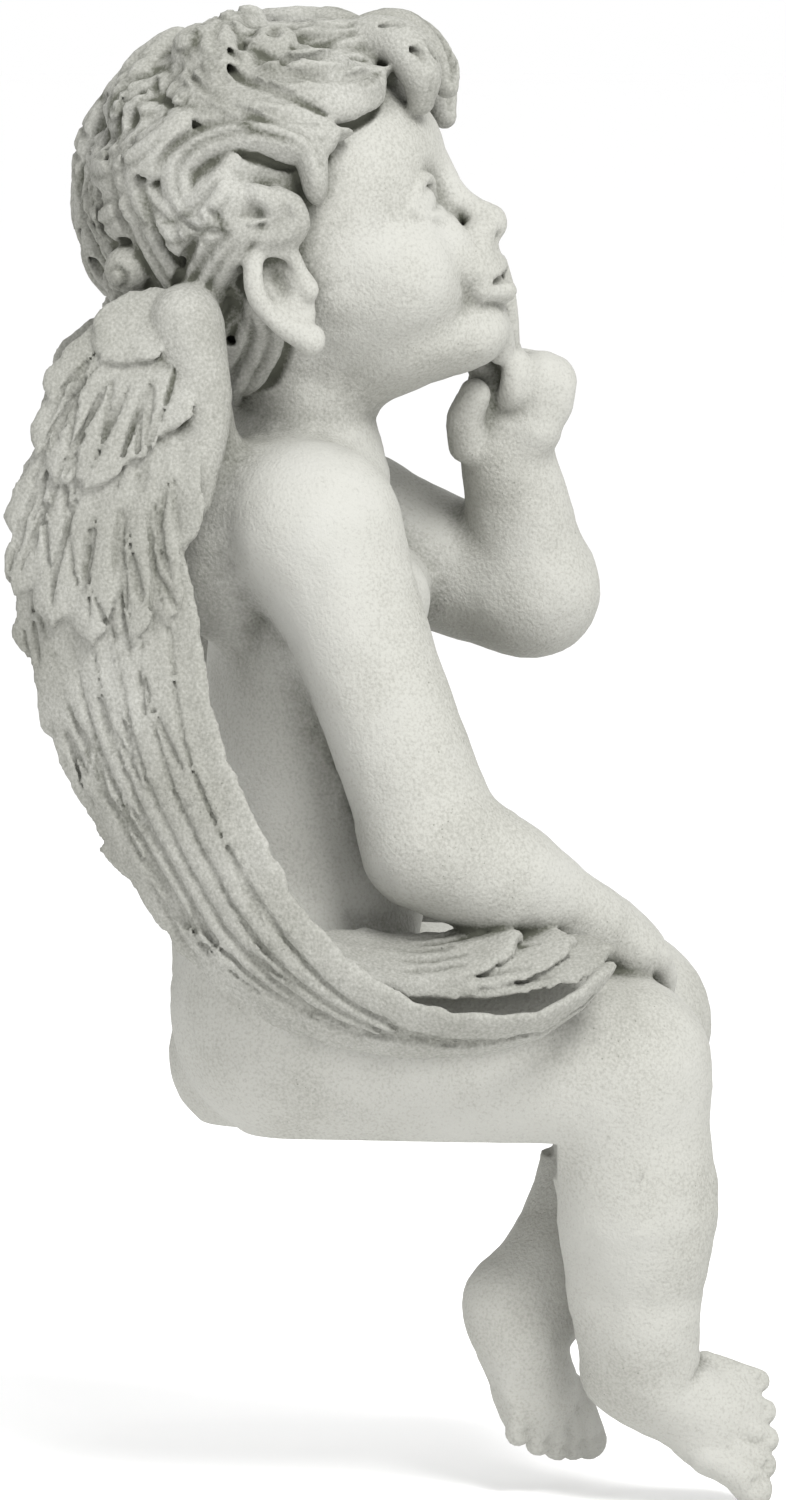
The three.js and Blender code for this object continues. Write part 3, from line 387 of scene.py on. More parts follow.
class Clay:
    """A field of distances on a regular grid, negative inside the figure."""

    def __init__(self, low: Array, high: Array, step: float) -> None:
        self.low = low
        self.step = step
        counts = np.ceil((high - low) / step).astype(int) + 1
        self.axes = [low[k] + step * np.arange(counts[k]) for k in range(3)]
        self.values = np.full(counts, FAR, np.float32)
        self.textured = np.zeros(counts, bool)
        # How deep each point lies in a groove, where the material paints shade.
        self.groove_shade = np.zeros(counts, np.float32)
        self.texturing = False

    def gaps(self, shape: Shape, reach: float) -> tuple[tuple[slice, slice, slice], Array]:
        """The part of the grid near a shape, and its points' distances to the shape."""
        low, high = shape.bounds()
        margin = reach + 2 * self.step
        cut = Block(*self.axes).near(low - margin, high + margin)
        block = Block(*(axis[s] for axis, s in zip(self.axes, cut)))
        return cut, shape.distance(block, margin)

    def work(self, shape: Shape, reach: float, change: Callable[[Array, Array], Array], adds: bool) -> None:
        """Changes the field near a shape.

        Args:
            shape: what is added or cut.
            reach: how far beyond the shape the field changes.
            change: gives the new values from the old ones and the distances to the shape.
            adds: whether the shape is added, so that it can own the skin there.
        """
        cut, gaps = self.gaps(shape, reach)
        old = self.values[cut]
        if adds:
            self.textured[cut] = np.where(gaps < old, self.texturing, self.textured[cut])
        self.values[cut] = change(old, gaps)

    def add(self, shape: Shape, blend: float) -> None:
        """Adds a shape, melted into what is there over the blend width."""
        self.work(shape, blend, lambda old, d: melt(old, d, blend), True)

    def carve(self, shape: Shape, blend: float) -> None:
        """Cuts a shape away, with edges rounded over the blend width."""
        self.work(shape, blend, lambda old, d: -melt(-old, d, blend), False)

    def roughen(self, spacing: float, height: float, seed: int) -> None:
        """Makes the surface uneven, as a hand-finished casting is.

        Args:
            spacing: distance between the bumps.
            height: how high they stand.
            seed: makes the result the same each run.
        """
        shape = self.values.shape
        counts = [int(n * self.step / spacing) + 3 for n in shape]
        noise = np.random.default_rng(seed).normal(0, 1, counts).astype(np.float32)
        for axis, n in enumerate(shape):
            place = np.arange(n) * self.step / spacing
            i = place.astype(int)
            t = place - i
            t = (t * t * (3 - 2 * t)).astype(np.float32)
            form = [1, 1, 1]
            form[axis] = n
            t = t.reshape(form)
            noise = noise.take(i, axis) * (1 - t) + noise.take(i + 1, axis) * t
        self.values += noise * height

    def onto(self, point: Array, normal: Array, reach: float = 8.0) -> Array:
        """The outermost spot of the clay on a line through a point, or the point where it misses."""
        spots = point + normal * np.arange(reach, -reach, -PROBE_STEP)[:, None]
        inside = np.nonzero(self.sample(self.values, spots) < 0)[0]
        return spots[inside[0]] if len(inside) and inside[0] > 0 else point

    def engrave(self, points: Sequence[tuple[Array, Array]], radius: float, sunk: float = 0.0) -> None:
        """Cuts a groove along points that are first set on the surface, and marks its inside for painted
        shade.

        Args:
            points: pairs of a point and the way that the surface faces there.
            radius: half the groove's width at its middle; it narrows to both ends.
            sunk: how far its middle line lies below the surface.
        """
        heights = np.array([(self.onto(point, normal) - point) @ normal for point, normal in points])
        for _ in range(3):
            beside = np.pad(heights, 1, mode="edge")
            heights = np.maximum(heights, (beside[:-2] + beside[2:]) / 2 - GROOVE_DIP)
        path = [point + normal * (height - sunk) for (point, normal), height in zip(points, heights)]
        last = len(path) - 1
        swell = 1 - GROOVE_END
        radii = [radius * (GROOVE_END + swell * math.sin(math.pi * i / last)) for i in range(last + 1)]
        groove = Limb(list(zip(path, radii)), LINE_PIECES)
        self.carve(groove, GROOVE_ROUNDING)
        # Marks the inside of the groove, which the material paints dark as shade.
        cut, gaps = self.gaps(groove, 1)
        self.groove_shade[cut] = np.maximum(self.groove_shade[cut], np.clip(GROOVE_SHADE_REACH - gaps, 0, 1))

    def cut_seat(self) -> None:
        """Cuts the flat underside that the figure sits on."""
        x, y, z = Block(*self.axes).open()
        inside = np.minimum(z + SEAT_DROP, np.minimum(-z, y + SEAT_FRONT))
        inside = np.minimum(inside, np.minimum(SEAT_BACK - y, SEAT_HALF_WIDTH - np.abs(x)))
        np.maximum(self.values, inside, out=self.values)

    def crowding(self, reach: float) -> Array:
        """The share of solid round each grid point: over a half in a hollow, under it on a ridge."""
        return self.spread(self.values < 0, reach)

    def spread(self, mask: Array, reach: float) -> Array:
        """A mask blurred over a distance, by two running means along each axis."""
        crowd = mask.astype(np.float32)
        half = max(1, int(round(reach / self.step)))
        for _ in range(2):
            for axis in range(3):
                total = np.cumsum(crowd, axis)
                n = crowd.shape[axis]
                high = np.minimum(np.arange(n) + half, n - 1)
                low = np.arange(n) - half - 1
                start = total.take(np.maximum(low, 0), axis)
                form = [1, 1, 1]
                form[axis] = n
                start = start * (low >= 0).reshape(form)
                crowd = (total.take(high, axis) - start) / (2 * half + 1)
        return crowd

    def sample(self, grid: Array, points: Array) -> Array:
        """Values of a grid at points."""
        spot = (points - self.low) / self.step
        i = np.clip(np.floor(spot).astype(int), 0, np.array(grid.shape) - 2)
        t = spot - i
        total = np.zeros(len(points))
        for corner in range(8):
            bits = np.array([corner & 1, corner >> 1 & 1, corner >> 2])
            weight = np.prod(np.where(bits, t, 1 - t), 1)
            j = i + bits
            total += weight * grid[j[:, 0], j[:, 1], j[:, 2]]
        return total


def turned(right: Array, ahead: Array, up: Array) -> Matrix:
    """The turn whose columns are the three vectors."""
    return Matrix(np.stack((right, ahead, up), 1).tolist())


# Pelvis, belly, waist, chest and shoulders, each with its middle, its radii and its blend.
TRUNK_MIDDLE = (
    ((0, -33, 50), (45, 35, 40), 1),
    ((0, -27, 76), (43, 35, 36), 14),
    ((0, -27, 108), (43, 32, 36), 16),
    ((0, -26, 143), (46, 31, 34), 16),
    ((0, -31, 177), (50, 25, 21), 16),
)

# Buttock, breast, shoulder blade and the muscle beside the neck, as on the left side.
TRUNK_SIDES = (
    ((27, -36, 37), (31, 32, 36), 8),
    ((19, -6, 158), (18, 15, 15), 9),
    ((22, -48, 168), (19, 12, 24), 10),
    ((22, -36, 192), (24, 17, 13), 10),
)


@dataclass
class Trunk:
    """Pelvis, belly, chest, shoulder girdle and neck."""

    navel: Array = field(default_factory=lambda: at(0, 11, 76))
    navel_radii: Point = (3, 3, 3.4)

    def build(self, clay: Clay) -> None:
        """Lays up the trunk up to the shoulders."""
        for centre, radii, blend in TRUNK_MIDDLE:
            clay.add(Ball(at(*centre), radii), blend)
        for side in Side:
            for (x, forward, up), radii, blend in TRUNK_SIDES:
                clay.add(Ball(at(side.value * x, forward, up), radii), blend)
        self.carve_spine(clay)
        clay.carve(Ball(self.navel, self.navel_radii), 3)

    def carve_spine(self, clay: Clay) -> None:
        """Cuts the furrow of the spine and the cleft below it."""
        spine = [(at(0, -62, 185), 2), (at(0, -63, 140), 2.6), (at(0, -68, 95), 3), (at(0, -76, 62), 3.6)]
        cleft = [(at(0, -76, 56), 2.4), (at(0, -78, 34), 3.4), (at(0, -66, 6), 3.4)]
        clay.carve(Limb(spine), 8)
        clay.carve(Limb(cleft), 5)

    def build_neck(self, clay: Clay) -> None:
        """Lays up the short neck."""
        clay.add(Limb([(at(0, -30, 196), 27), (at(0, -29, 212), 22), (at(0, -27, 232), 23)]), 12)


@dataclass
class Grip:
    """A frame on a hand or a foot: where it is, where it points, and the way its back faces."""

    origin: Array
    ahead: Array
    back: Array
    inward: Array

    @classmethod
    def make(cls, origin: Array, ahead: Array, back: Array, thumb_side: int) -> "Grip":
        """The frame at a place, squared up from where it points and where its back faces."""
        a = unit(ahead)
        w = unit(np.cross(a, back)) * thumb_side
        return cls(origin, a, np.cross(w, a) * thumb_side, w)

    def point(self, inward: float, ahead: float, above: float) -> Array:
        """A point given in the frame's own directions."""
        return self.origin + PART * (inward * self.inward + ahead * self.ahead + above * self.back)

    @property
    def turn(self) -> Matrix:
        """The frame's turn, for masses that lie along it."""
        return turned(self.inward, self.ahead, self.back)


@dataclass
class Foot:
    """A foot with five toes and their nails, below its ankle."""

    ankle: Array
    grip: Grip
    toe_radius: float = 5.9
    first_toe: float = 12.9
    toe_spacing: float = 6.7
    toe_reach: float = 43
    spread: float = 1.0

    def build(self, clay: Clay) -> None:
        """Lays up the instep, heel, sole and ball of the foot, and its toes."""
        point, turn = self.grip.point, self.grip.turn
        clay.add(Limb([(self.ankle, 15.5), (point(0, 13, 4), 13.5), (point(0, 25, 1), 10.5)]), 7)
        clay.add(Ball(point(0, 0, 0), (12, 12, 12), turn), 9)
        clay.add(Ball(point(0, 15, -1), (12, 22, 9), turn), 8)
        clay.add(Ball(point(0, 32, -1), (16.5 * self.spread, 13, 8.5), turn), 7)
        for toe in range(5):
            self.toe(clay, toe)

    def toe(self, clay: Clay, toe: int) -> None:
        """Lays up one toe, counted from the big one, and cuts its nail."""
        point = self.grip.point
        size = self.toe_radius - (1 + 0.3 * toe if toe else 0)
        across = self.spread * (self.first_toe - self.toe_spacing * toe)
        reach = self.toe_reach - 0.8 * toe * toe
        joints = [
            (point(across * 0.95, reach - 9, 1), size * 0.95),
            (point(across * 1.05, reach + 1, 2), size * 0.8),
            (point(across * 1.12, reach + 7.5, -1), size * 0.98),
        ]
        clay.add(Limb(joints), 0.8)
        bed = point(across * 1.12, reach + 9, size - 1.4)
        clay.carve(Ball(bed, (size * 0.55, size * 0.6, 0.9), self.grip.turn), 0.8)


@dataclass
class Legs:
    """Both legs, bent over the seat's edge, with the right ankle crossed over the left."""

    right_knee: Array = field(default_factory=lambda: at(-37, 64, 20))
    left_knee: Array = field(default_factory=lambda: at(34, 66, 26))
    right_ankle: Array = field(default_factory=lambda: at(-31, 72, -57))
    left_ankle: Array = field(default_factory=lambda: at(4, 45, -47))

    def build_thighs(self, clay: Clay) -> None:
        """Lays up the thighs and the lap between them."""
        for side, knee in ((-1, self.right_knee), (1, self.left_knee)):
            clay.add(Limb([(at(side * 29, -26, 27), 31), (at(side * 33, 18, 25), 31), (knee, 27.5)]), 9)
        clay.add(Limb([(at(0, -44, 20), 25), (at(0, 16, 16), 23)]), 8)

    def build(self, clay: Clay) -> None:
        """Lays up the shins and the feet."""
        self.shin(clay, self.right_knee, at(-35, 71, -24), self.right_ankle, 23.5)
        self.shin(clay, self.left_knee, at(20, 60, -18), self.left_ankle, 18.5)
        right = Grip.make(at(-22, 66, -72), along(-0.1, 0.9, -0.43), along(-0.93, 0.1, 0.32), 1)
        left = Grip.make(at(-2, 31, -54), along(0.05, 0.36, -0.93), along(-0.72, 0.65, 0.22), -1)
        Foot(self.right_ankle, right).build(clay)
        Foot(self.left_ankle, left, spread=0.84).build(clay)
        heel_cord = [(at(-33, 60, -28), 11), (at(-31, 61, -49), 11), (at(-28, 67, -67), 10)]
        clay.add(Limb(heel_cord), 7)

    def shin(self, clay: Clay, knee: Array, calf: Array, ankle: Array, fullness: float) -> None:
        """One lower leg, with the radius of its calf."""
        clay.add(Limb([(knee, 25), (calf, fullness), (ankle, 15)]), 7)


@dataclass
class Hand:
    """A plump hand: a palm, four fingers and a thumb."""

    grip: Grip
    curl: int
    bends: Sequence[Point]
    thumb: Sequence[Point]
    finger_radius: float = 4.7
    finger_length: float = 9.6
    little_length: float = 8.2
    little_share: float = 0.9
    thumb_radii: Point = (6.4, 5.6, 4.8)

    def build(self, clay: Clay) -> None:
        """Lays up the wrist, the palm, the fingers and the thumb."""
        point = self.grip.point
        clay.add(Limb([(point(0, -4, 0), 11), (point(0, 8, 0), 10.5)]), 5)
        clay.add(Ball(point(0, 17, 0), (15.5, 15, 8.5), self.grip.turn), 6)
        for n, bend in enumerate(self.bends):
            self.finger(clay, n, bend)
        clay.add(Limb([(point(*p), r) for p, r in zip(self.thumb, self.thumb_radii)]), 2.4)

    def finger(self, clay: Clay, n: int, bend: Point) -> None:
        """Lays up a finger, counted from the forefinger, with the bend of each joint in degrees."""
        little = n == len(self.bends) - 1
        longest = self.little_length if little else self.finger_length
        radius = self.finger_radius * (self.little_share if little else 1)
        place = Vector(self.grip.point(11.2 - 7.4 * n, 27 - 0.9 * (n - 1) ** 2, 0))
        heading = Vector(self.grip.ahead)
        axis = Vector(self.grip.inward) * -self.curl
        stations = [(np.array(place), radius * 1.08)]
        for joint, length in enumerate((longest, longest * 0.8, longest * 0.66)):
            heading.rotate(Matrix.Rotation(math.radians(bend[joint]), 3, axis))
            place = place + heading * length * PART
            stations.append((np.array(place), radius * (0.98 - 0.05 * joint)))
        clay.add(Limb(stations), 1.1)


@dataclass
class Arms:
    """The right arm rests in the lap, and the left one is raised to the chin."""

    def build(self, clay: Clay) -> None:
        """Lays up both arms with their hands."""
        self.resting(clay)
        self.raised(clay)

    def resting(self, clay: Clay) -> None:
        """The right shoulder, arm and open hand."""
        clay.add(Ball(at(-43, -27, 182), (24, 24, 23)), 14)
        clay.add(Limb([(at(-47, -22, 180), 21.5), (at(-53, -8, 140), 19.5), (at(-57, 9, 92), 20)]), 10)
        clay.add(Limb([(at(-57, 9, 89), 20.5), (at(-51, 32, 77), 18), (at(-38, 55, 64), 11)]), 4)
        grip = Grip.make(at(-37, 55, 64), along(0.68, 0.58, -0.3), along(-0.3, 0.3, 0.9), -1)
        bends = [(18, 22, 18), (22, 24, 20), (26, 26, 22), (30, 28, 22)]
        Hand(grip, -1, bends, [(12, 4, -2), (18, 12, -3), (20, 19, -5)]).build(clay)

    def raised(self, clay: Clay) -> None:
        """The left shoulder, bent arm and loose fist."""
        clay.add(Ball(at(45, -15, 176), (21, 21, 22)), 12)
        clay.add(Limb([(at(47, -13, 176), 21), (at(42, 14, 164), 20.5), (at(34, 40, 157), 20)]), 6)
        clay.add(Limb([(at(34, 38, 158), 20), (at(28, 36, 178), 16.5), (at(21, 32, 200), 13.5)]), 5)
        grip = Grip.make(at(20, 32, 199), along(-0.1, 0.14, 0.98), along(0.95, -0.25, 0.05), 1)
        bends = [(4, 6, 8), (82, 90, 55), (84, 92, 55), (86, 92, 55)]
        Hand(grip, 1, bends, [(13, 2, -3), (16, 10, -6), (15, 18, -9)]).build(clay)
        clay.add(Limb([(at(13, 40, 207), 8), (at(14, 45, 222), 6.5)]), 5)

    def fingertips(self, clay: Clay) -> None:
        """The raised forefinger at the far side of the lips, and the thumb's tip below them."""
        finger = ((13, 31, 230, 4.9), (9, 31, 240, 4.5), (7, 30, 249, 4.2), (5, 28.5, 256, 3.7))
        thumb = ((4, 30, 231, 4.6), (-2, 29.5, 238, 3.8), (-5, 27.5, 245, 2.8))
        for tip in (finger, thumb):
            clay.add(Limb([(at(*spot), radius) for *spot, radius in tip]), 1.5)


@dataclass
class Head:
    """The skull, a calm generic child's face and the ears.

    Its own points start in the middle of the skull.
    """

    centre: Array = field(default_factory=lambda: at(0, -31, 268))
    size: float = 1.07
    turn: Matrix = field(
        default_factory=lambda: Euler((math.radians(-25), 0, math.radians(-7)), "XYZ").to_matrix()
    )

    def point(self, side: float, forward: float, up: float) -> Array:
        """A point given from the middle of the skull, before the head's turn."""
        return self.centre + np.array(self.turn) @ (at(side, forward, up) * self.size)

    def ball(self, centre: Point, radii: Point) -> Ball:
        """A mass given in the head's own points."""
        return Ball(self.point(*centre), tuple(radius * self.size for radius in radii), self.turn)

    def limb(self, stations: Sequence[tuple[float, float, float, float]]) -> Limb:
        """A rounded line through stations, each of three coordinates and a radius."""
        return Limb([(self.point(a, b, c), radius * self.size) for a, b, c, radius in stations])

    def build(self, clay: Clay) -> None:
        """Lays up the skull and the face."""
        self.skull(clay)
        self.brow_and_eyes(clay)
        self.nose(clay)
        self.mouth(clay)

    def skull(self, clay: Clay) -> None:
        """The skull, forehead, cheeks, jaw and chin."""
        clay.add(self.ball((0, -2, 4), (41, 45, 41)), 2)
        clay.add(self.ball((0, 15, 10), (35, 31, 28)), 12)
        clay.add(self.ball((0, 13, -25), (32, 28, 26)), 12)
        for side in SIDES:
            clay.add(self.ball((side * 19, 24, -26), (15, 14, 15)), 8)
        clay.add(self.ball((0, 33, -48), (10, 9.5, 9)), 8)
        clay.add(self.ball((0, 16, -46), (20, 19, 9)), 9)

    def brow_and_eyes(self, clay: Clay) -> None:
        """Hollows under the brow, and plain eyes between two lids."""
        for side in SIDES:
            clay.carve(self.ball((side * 16, 46, -8), (10, 6, 6)), 7)
            clay.add(self.ball((side * 15.6, 31.8, -9), (9.4, 8.8, 6.4)), 1.2)
            upper = [(8, 38.2, -11, 1.1), (12.5, 40.8, -5, 1.7), (18.5, 39.8, -4, 1.8), (25, 33.8, -10, 1.2)]
            lower = [
                (8, 38.2, -11, 1.0), (13, 39.8, -14.2, 1.2), (19.5, 38.0, -14, 1.2), (25, 33.8, -10, 1.1),
            ]
            for lid in (upper, lower):
                clay.add(self.limb([(side * a, b, c, r) for a, b, c, r in lid]), 1.0)

    def nose(self, clay: Clay) -> None:
        """A short nose with its wings and nostrils."""
        clay.add(self.limb([(0, 41.5, -3, 4.2), (0, 44.6, -14, 4.2), (0, 49.2, -22, 5.2)]), 5)
        for side in SIDES:
            clay.add(self.ball((side * 11, 38.5, -24), (6, 5.5, 8)), 5)
            clay.add(self.ball((side * 5.4, 46.4, -23.6), (4, 4.4, 3.8)), 3)
            clay.carve(self.ball((side * 3.6, 49.6, -26.6), (1.8, 2.4, 1.8)), 1)

    def mouth(self, clay: Clay) -> None:
        """Slightly parted lips."""
        clay.add(self.ball((0, 42, -33), (13, 7, 8)), 6)
        upper = [(-10.5, 40.6, -36.4, 1.5), (-4.4, 46, -33.8, 2.6), (0, 46.6, -34.4, 2.4)]
        upper += [(4.4, 46, -33.8, 2.6), (10.5, 40.6, -36.4, 1.5)]
        clay.add(self.limb(upper), 1.6)
        clay.add(self.limb([(-9, 41, -38.6, 1.8), (0, 45.4, -41, 3.3), (9, 41, -38.6, 1.8)]), 2)
        clay.carve(self.limb([(-8, 44.2, -37.2, 1.1), (0, 48, -37.4, 1.8), (8, 44.2, -37.2, 1.1)]), 1)

    def ear(self, clay: Clay, side: int) -> None:
        """An ear with its rim, its hollow and the small flap in front."""
        clay.add(self.ball((side * 39.5, -6, -17), (5, 7.5, 14)), 3)
        rim = [(41, 1.5, -16, 1.8), (44, 1, -7, 2.4), (46, -6, -3.5, 2.8)]
        rim += [(47, -11, -11, 2.8), (45, -10, -22, 2.8), (42.5, -4, -31, 4.4)]
        clay.add(self.limb([(side * a, b, c, r) for a, b, c, r in rim]), 1.6)
        clay.carve(self.ball((side * 45.5, -4.5, -13), (4, 3.6, 6.5)), 1.6)
        clay.add(self.ball((side * 42, 1.5, -18), (3, 2.6, 3.8)), 2)


# Locks at the side of the head: the path as places forward and up, half the width and the thickness.
SIDE_LOCKS = (
    (((-90, 276), (-88, 262), (-78, 250)), 7.0, 9),
    (((-84, 296), (-89, 282), (-85, 266), (-74, 252)), 7.0, 9),
    (((-71, 318), (-82, 309), (-87, 298), (-84, 286)), 7.5, 9),
    (((-62, 312), (-72, 305), (-78, 294), (-75, 282)), 6.5, 9),
    (((-54, 321), (-45, 325), (-36, 327), (-28, 324), (-18, 321)), 6.5, 8),
    (((-48, 323), (-36, 316), (-20, 314), (-9, 317)), 7.5, 8),
    (((-59, 321), (-48, 311), (-34, 305), (-16, 308), (-6, 312)), 8.0, 9),
    (((-76, 318), (-65, 313), (-55, 305), (-43, 299), (-29, 295), (-18, 296)), 7.5, 9),
    (((-58, 300), (-70, 296), (-76, 283), (-73, 267), (-66, 254), (-58, 247)), 6.0, 10),
    (((-62, 274), (-57, 264), (-53, 256)), 8.0, 9),
    (((-46, 268), (-52, 262), (-57, 252), (-54, 243)), 6.0, 9),
    (
        ((-25, 283), (-27, 291), (-40, 296), (-54, 294), (-64, 286), (-62, 275), (-53, 270), (-43, 271)),
        5.2, 11,
    ),
    (((-41, 246), (-40, 238), (-44, 229), (-48, 219)), 6.5, 9),
    (((-58, 246), (-60, 236), (-57, 226)), 7.0, 9),
)

# Short tufts before the ear: places forward and up, the height over the cap and the radius.
TUFTS = (
    ((-47, 277, 6, 2.6), (-42, 279, 8, 3.0), (-37, 276, 8, 2.8), (-37, 271, 6, 2.2)),
    ((-36, 279, 6, 2.2), (-31, 276, 7, 2.8), (-29, 270, 7, 3.0), (-32, 264, 5, 2.4)),
    ((-44, 270, 5, 2.2), (-40, 266, 7, 2.8), (-34, 267, 8, 2.6), (-30, 272, 7, 1.8)),
)

# Knobs of rolled hair behind the head, on the left side: side, forward, up and radius.
KNOBS = (
    (16, -83, 274, 8.0),
    (20, -79, 301, 7.5),
    (22, -60, 320, 7.5),
    (30, -80, 256, 7.0),
)

# Round curls at the side: forward, up, radius of the coil, radius of the strand, height over the cap.
CURLS = (
    (-75, 298, 4.6, 4.4, 9),
    (-37, 322, 4.2, 4.0, 9),
    (-43, 254, 6.0, 3.6, 1.5),
)

# Pits between the locks that are filled up, as places forward and up.
PITS = ((-42.5, 274), (-33.8, 273.7), (-49, 317), (-49, 237))

# Rolls over the forehead, by the side that they turn to: stations with their radii.
FORELOCKS = {
    1: ((14, -16, 319, 6), (18, -6, 321, 7.5), (22, 4, 316, 7.5), (24, 11, 308, 6), (21, 13, 300, 4)),
    -1: ((-10, -18, 319, 6), (-15, -8, 323, 7.5), (-20, 1, 321, 7.5), (-23, 6, 313, 6.5), (-21, 6, 305, 4)),
    0: ((-6, -14, 322, 6.5), (-2, -4, 325, 7.5), (3, 5, 322, 7), (3, 12, 315, 5.5), (-2, 14, 309, 3.5)),
}


@dataclass
class Hair:
    """Thick waves and curls over a cap that ends at the hairline."""

    centre: Array = field(default_factory=lambda: at(0, -34, 277))
    radii: Point = (45, 48, 43)
    waves: int = 72
    lock_width: float = 8.5
    lock_thickness: float = 13.0
    padding: float = 2.5
    side_fullness: Place = (1.15, 1.35)
    outlined_from: float = 5.5
    nape: float = 240.0
    nape_half_width: float = 21.0
    rim: float = 0.95

    def bounds(self) -> tuple[Array, Array]:
        """The corners of the box round the cap."""
        reach = max(self.radii) * PART
        return self.centre - reach, self.centre + reach

    def distance(self, block: Block, reach: float) -> Array:
        """Distances to the cap, which ends at a hairline that peaks over the forehead."""
        x, y, z = block.open()
        normal = along(0, 0.82, -0.57)
        spot = at(0, -10, 305)
        front = normal[0] * (x - spot[0]) + normal[1] * (y - spot[1]) + normal[2] * (z - spot[2])
        peak = 7 * PART - (0.0045 / PART) * x * x
        return -melt(-Ball(self.centre, self.radii).distance(block, reach), peak - front, 5)

    def build(self, clay: Clay) -> None:
        """Lays up the cap, the waves over it, and the locks and curls of both sides."""
        clay.add(self, 2)
        clay.add(Ball(at(0, -46, 246), (38, 32, 30)), 6)
        self.lay_waves(clay)
        clay.add(Hair(radii=tuple(radius + self.padding for radius in self.radii)), 2)
        for side in SIDES:
            self.side_locks(clay, side)
            self.round_curls(clay, side)
            self.knobs(clay, side)
            self.tufts(clay, side)
        for side in FORELOCKS:
            self.forelock(clay, side)

    def lay_waves(self, clay: Clay) -> None:
        """Spreads waves evenly over the cap, each with its own heading, bend, length and height."""
        golden = math.pi * (3 - math.sqrt(5))
        for n in range(self.waves):
            z = 1 - (2 * (n + 0.5)) / self.waves
            wide = math.sqrt(1 - z * z)
            way = np.array((math.cos(golden * n) * wide, math.sin(golden * n) * wide, z))
            heading = 1.6 * chance(n, 0) - 0.8
            bend = (-1 if chance(n, 1) < 0.5 else 1) * (0.8 + 0.4 * chance(n, 2))
            length = 26 + 10 * chance(n, 3)
            high = 2.5 + 6 * chance(n, 4)
            if self.grows(way):
                self.wave(clay, way, heading, bend, length, high)

    def side_locks(self, clay: Clay, side: int) -> None:
        """The long locks over the ear and the temple, on two pads that fill the hair below them."""
        clay.add(Ball(self.seen(-45, 285, side, -5), (11, 20, 16)), 4)
        clay.add(Ball(self.seen(-37, 272, side, -2), (9.5, 10, 10)), 4)
        wider, thicker = self.side_fullness
        for path, half_width, thickness in SIDE_LOCKS:
            line = curve_through([self.seen(forward, up, side, 6) for forward, up in path], 4)
            self.lock(clay, line, half_width * wider, thickness * thicker)
            if half_width > self.outlined_from:
                self.outline(clay, line, half_width * wider)

    def grows(self, way: Array) -> bool:
        """Whether a wave may start there: behind the hairline and above the nape."""
        x, forward, z = way[0], -way[1], way[2]
        if z > -0.35:
            return 0.8 * forward - 0.6 * z < 0.1 - 0.25 * abs(x)
        return forward < -0.3 and z > -0.9

    def faces(self, point: Array) -> Array:
        """The way that the cap faces below a point."""
        offset = point - self.centre
        offset[2] = max(offset[2], -20 * PART)
        return unit(offset / np.array(self.radii) ** 2)

    def wave(self, clay: Clay, way: Array, heading: float, bend: float, length: float, high: float) -> None:
        """A lock that sweeps back over the cap in a wave and ends in a curl.

        Args:
            clay: what it is laid on.
            way: where it starts, as a direction from the cap's middle.
            heading: the angle that it sets out at, from straight back.
            bend: the side that it curls to, and how tightly.
            length: how long it is.
            high: how far it stands over the cap.
        """
        back = unit(np.array((0.0, 1.0, -0.35)))
        ahead = unit(back - way * (back @ way))
        sideways = np.cross(way, ahead)
        ahead = ahead * math.cos(heading) + sideways * math.sin(heading)
        step = 2.5
        count = int(length / step)
        line = []
        for i in range(count + 1):
            share = i / count
            lift = high + 3 * math.sin(math.pi * min(1, 0.15 + 0.75 * share))
            line.append(self.centre + PART * way * (np.array(self.radii) + lift))
            turn = bend * step * (0.05 * math.sin(5 * share) + 0.22 * share**3)
            sideways = np.cross(way, ahead)
            ahead = ahead * math.cos(turn) + sideways * math.sin(turn)
            way = unit(way + ahead * step / 47)
            ahead = unit(ahead - way * (ahead @ way))
        self.lock(clay, np.array(line), self.lock_width, self.lock_thickness)

    def lock(self, clay: Clay, line: Array, half_width: float, thickness: float) -> None:
        """Lays one lock and cuts the grooves between its strands."""
        normals = np.array([self.faces(point) for point in line])
        blade = Blade(line, normals, half_width * PART, thickness * PART, tip=0.7)
        clay.add(blade, 0.8)
        for part, radius, start in ((-0.35, 1.2, 0.1), (0.4, 1.5, 0.04)):
            shares = np.linspace(start, 0.92, 9)
            points = [blade.face(t, part * float(blade.width(t))) for t in shares]
            clay.engrave([(point, self.faces(point)) for point in points], radius, -0.2)

    def outline(self, clay: Clay, line: Array, half_width: float) -> None:
        """Cuts the channels that set a lock off from the hair beside it."""
        blade = Blade(line, np.array([self.faces(point) for point in line]), half_width * PART, 1, tip=0.7)
        for edge in (-1.05, 1.05):
            points = [blade.face(t, edge * float(blade.width(t))) for t in np.linspace(0.15, 0.95, 10)]
            clay.engrave([(point, self.faces(point)) for point in points], 1.9, 0.3)

    def seen(self, forward: float, up: float, side: int, lift: float) -> Array:
        """The spot over the cap that is seen at that place from that side."""
        v = (-forward * PART - self.centre[1]) / (self.radii[1] + lift)
        w = (up * PART - self.centre[2]) / (self.radii[2] + lift)
        size = math.hypot(v, w)
        if up > self.nape and size > self.rim:
            v, w = v * self.rim / size, w * self.rim / size
        x = math.sqrt(max(0, 1 - v * v - w * w)) * (self.radii[0] + lift)
        if up < self.nape:
            x = max(x, self.nape_half_width)
        return self.centre + np.array((side * x, v * (self.radii[1] + lift), w * (self.radii[2] + lift)))

    def forelock(self, clay: Clay, side: int) -> None:
        """One of the thick locks that roll over the forehead."""
        stations = [(at(*spot), radius) for *spot, radius in FORELOCKS[side]]
        clay.add(Limb(stations), 2)
        for turn in (-0.9, 0.2, 1.2):
            groove = []
            for n, (point, radius) in enumerate(stations):
                angle = turn + 0.35 * n
                away = along((side or 1) * math.cos(angle), 0.55, math.sin(angle))
                groove.append((point + away * radius * 0.9, away))
            clay.engrave(groove, 1.4, 0.2)

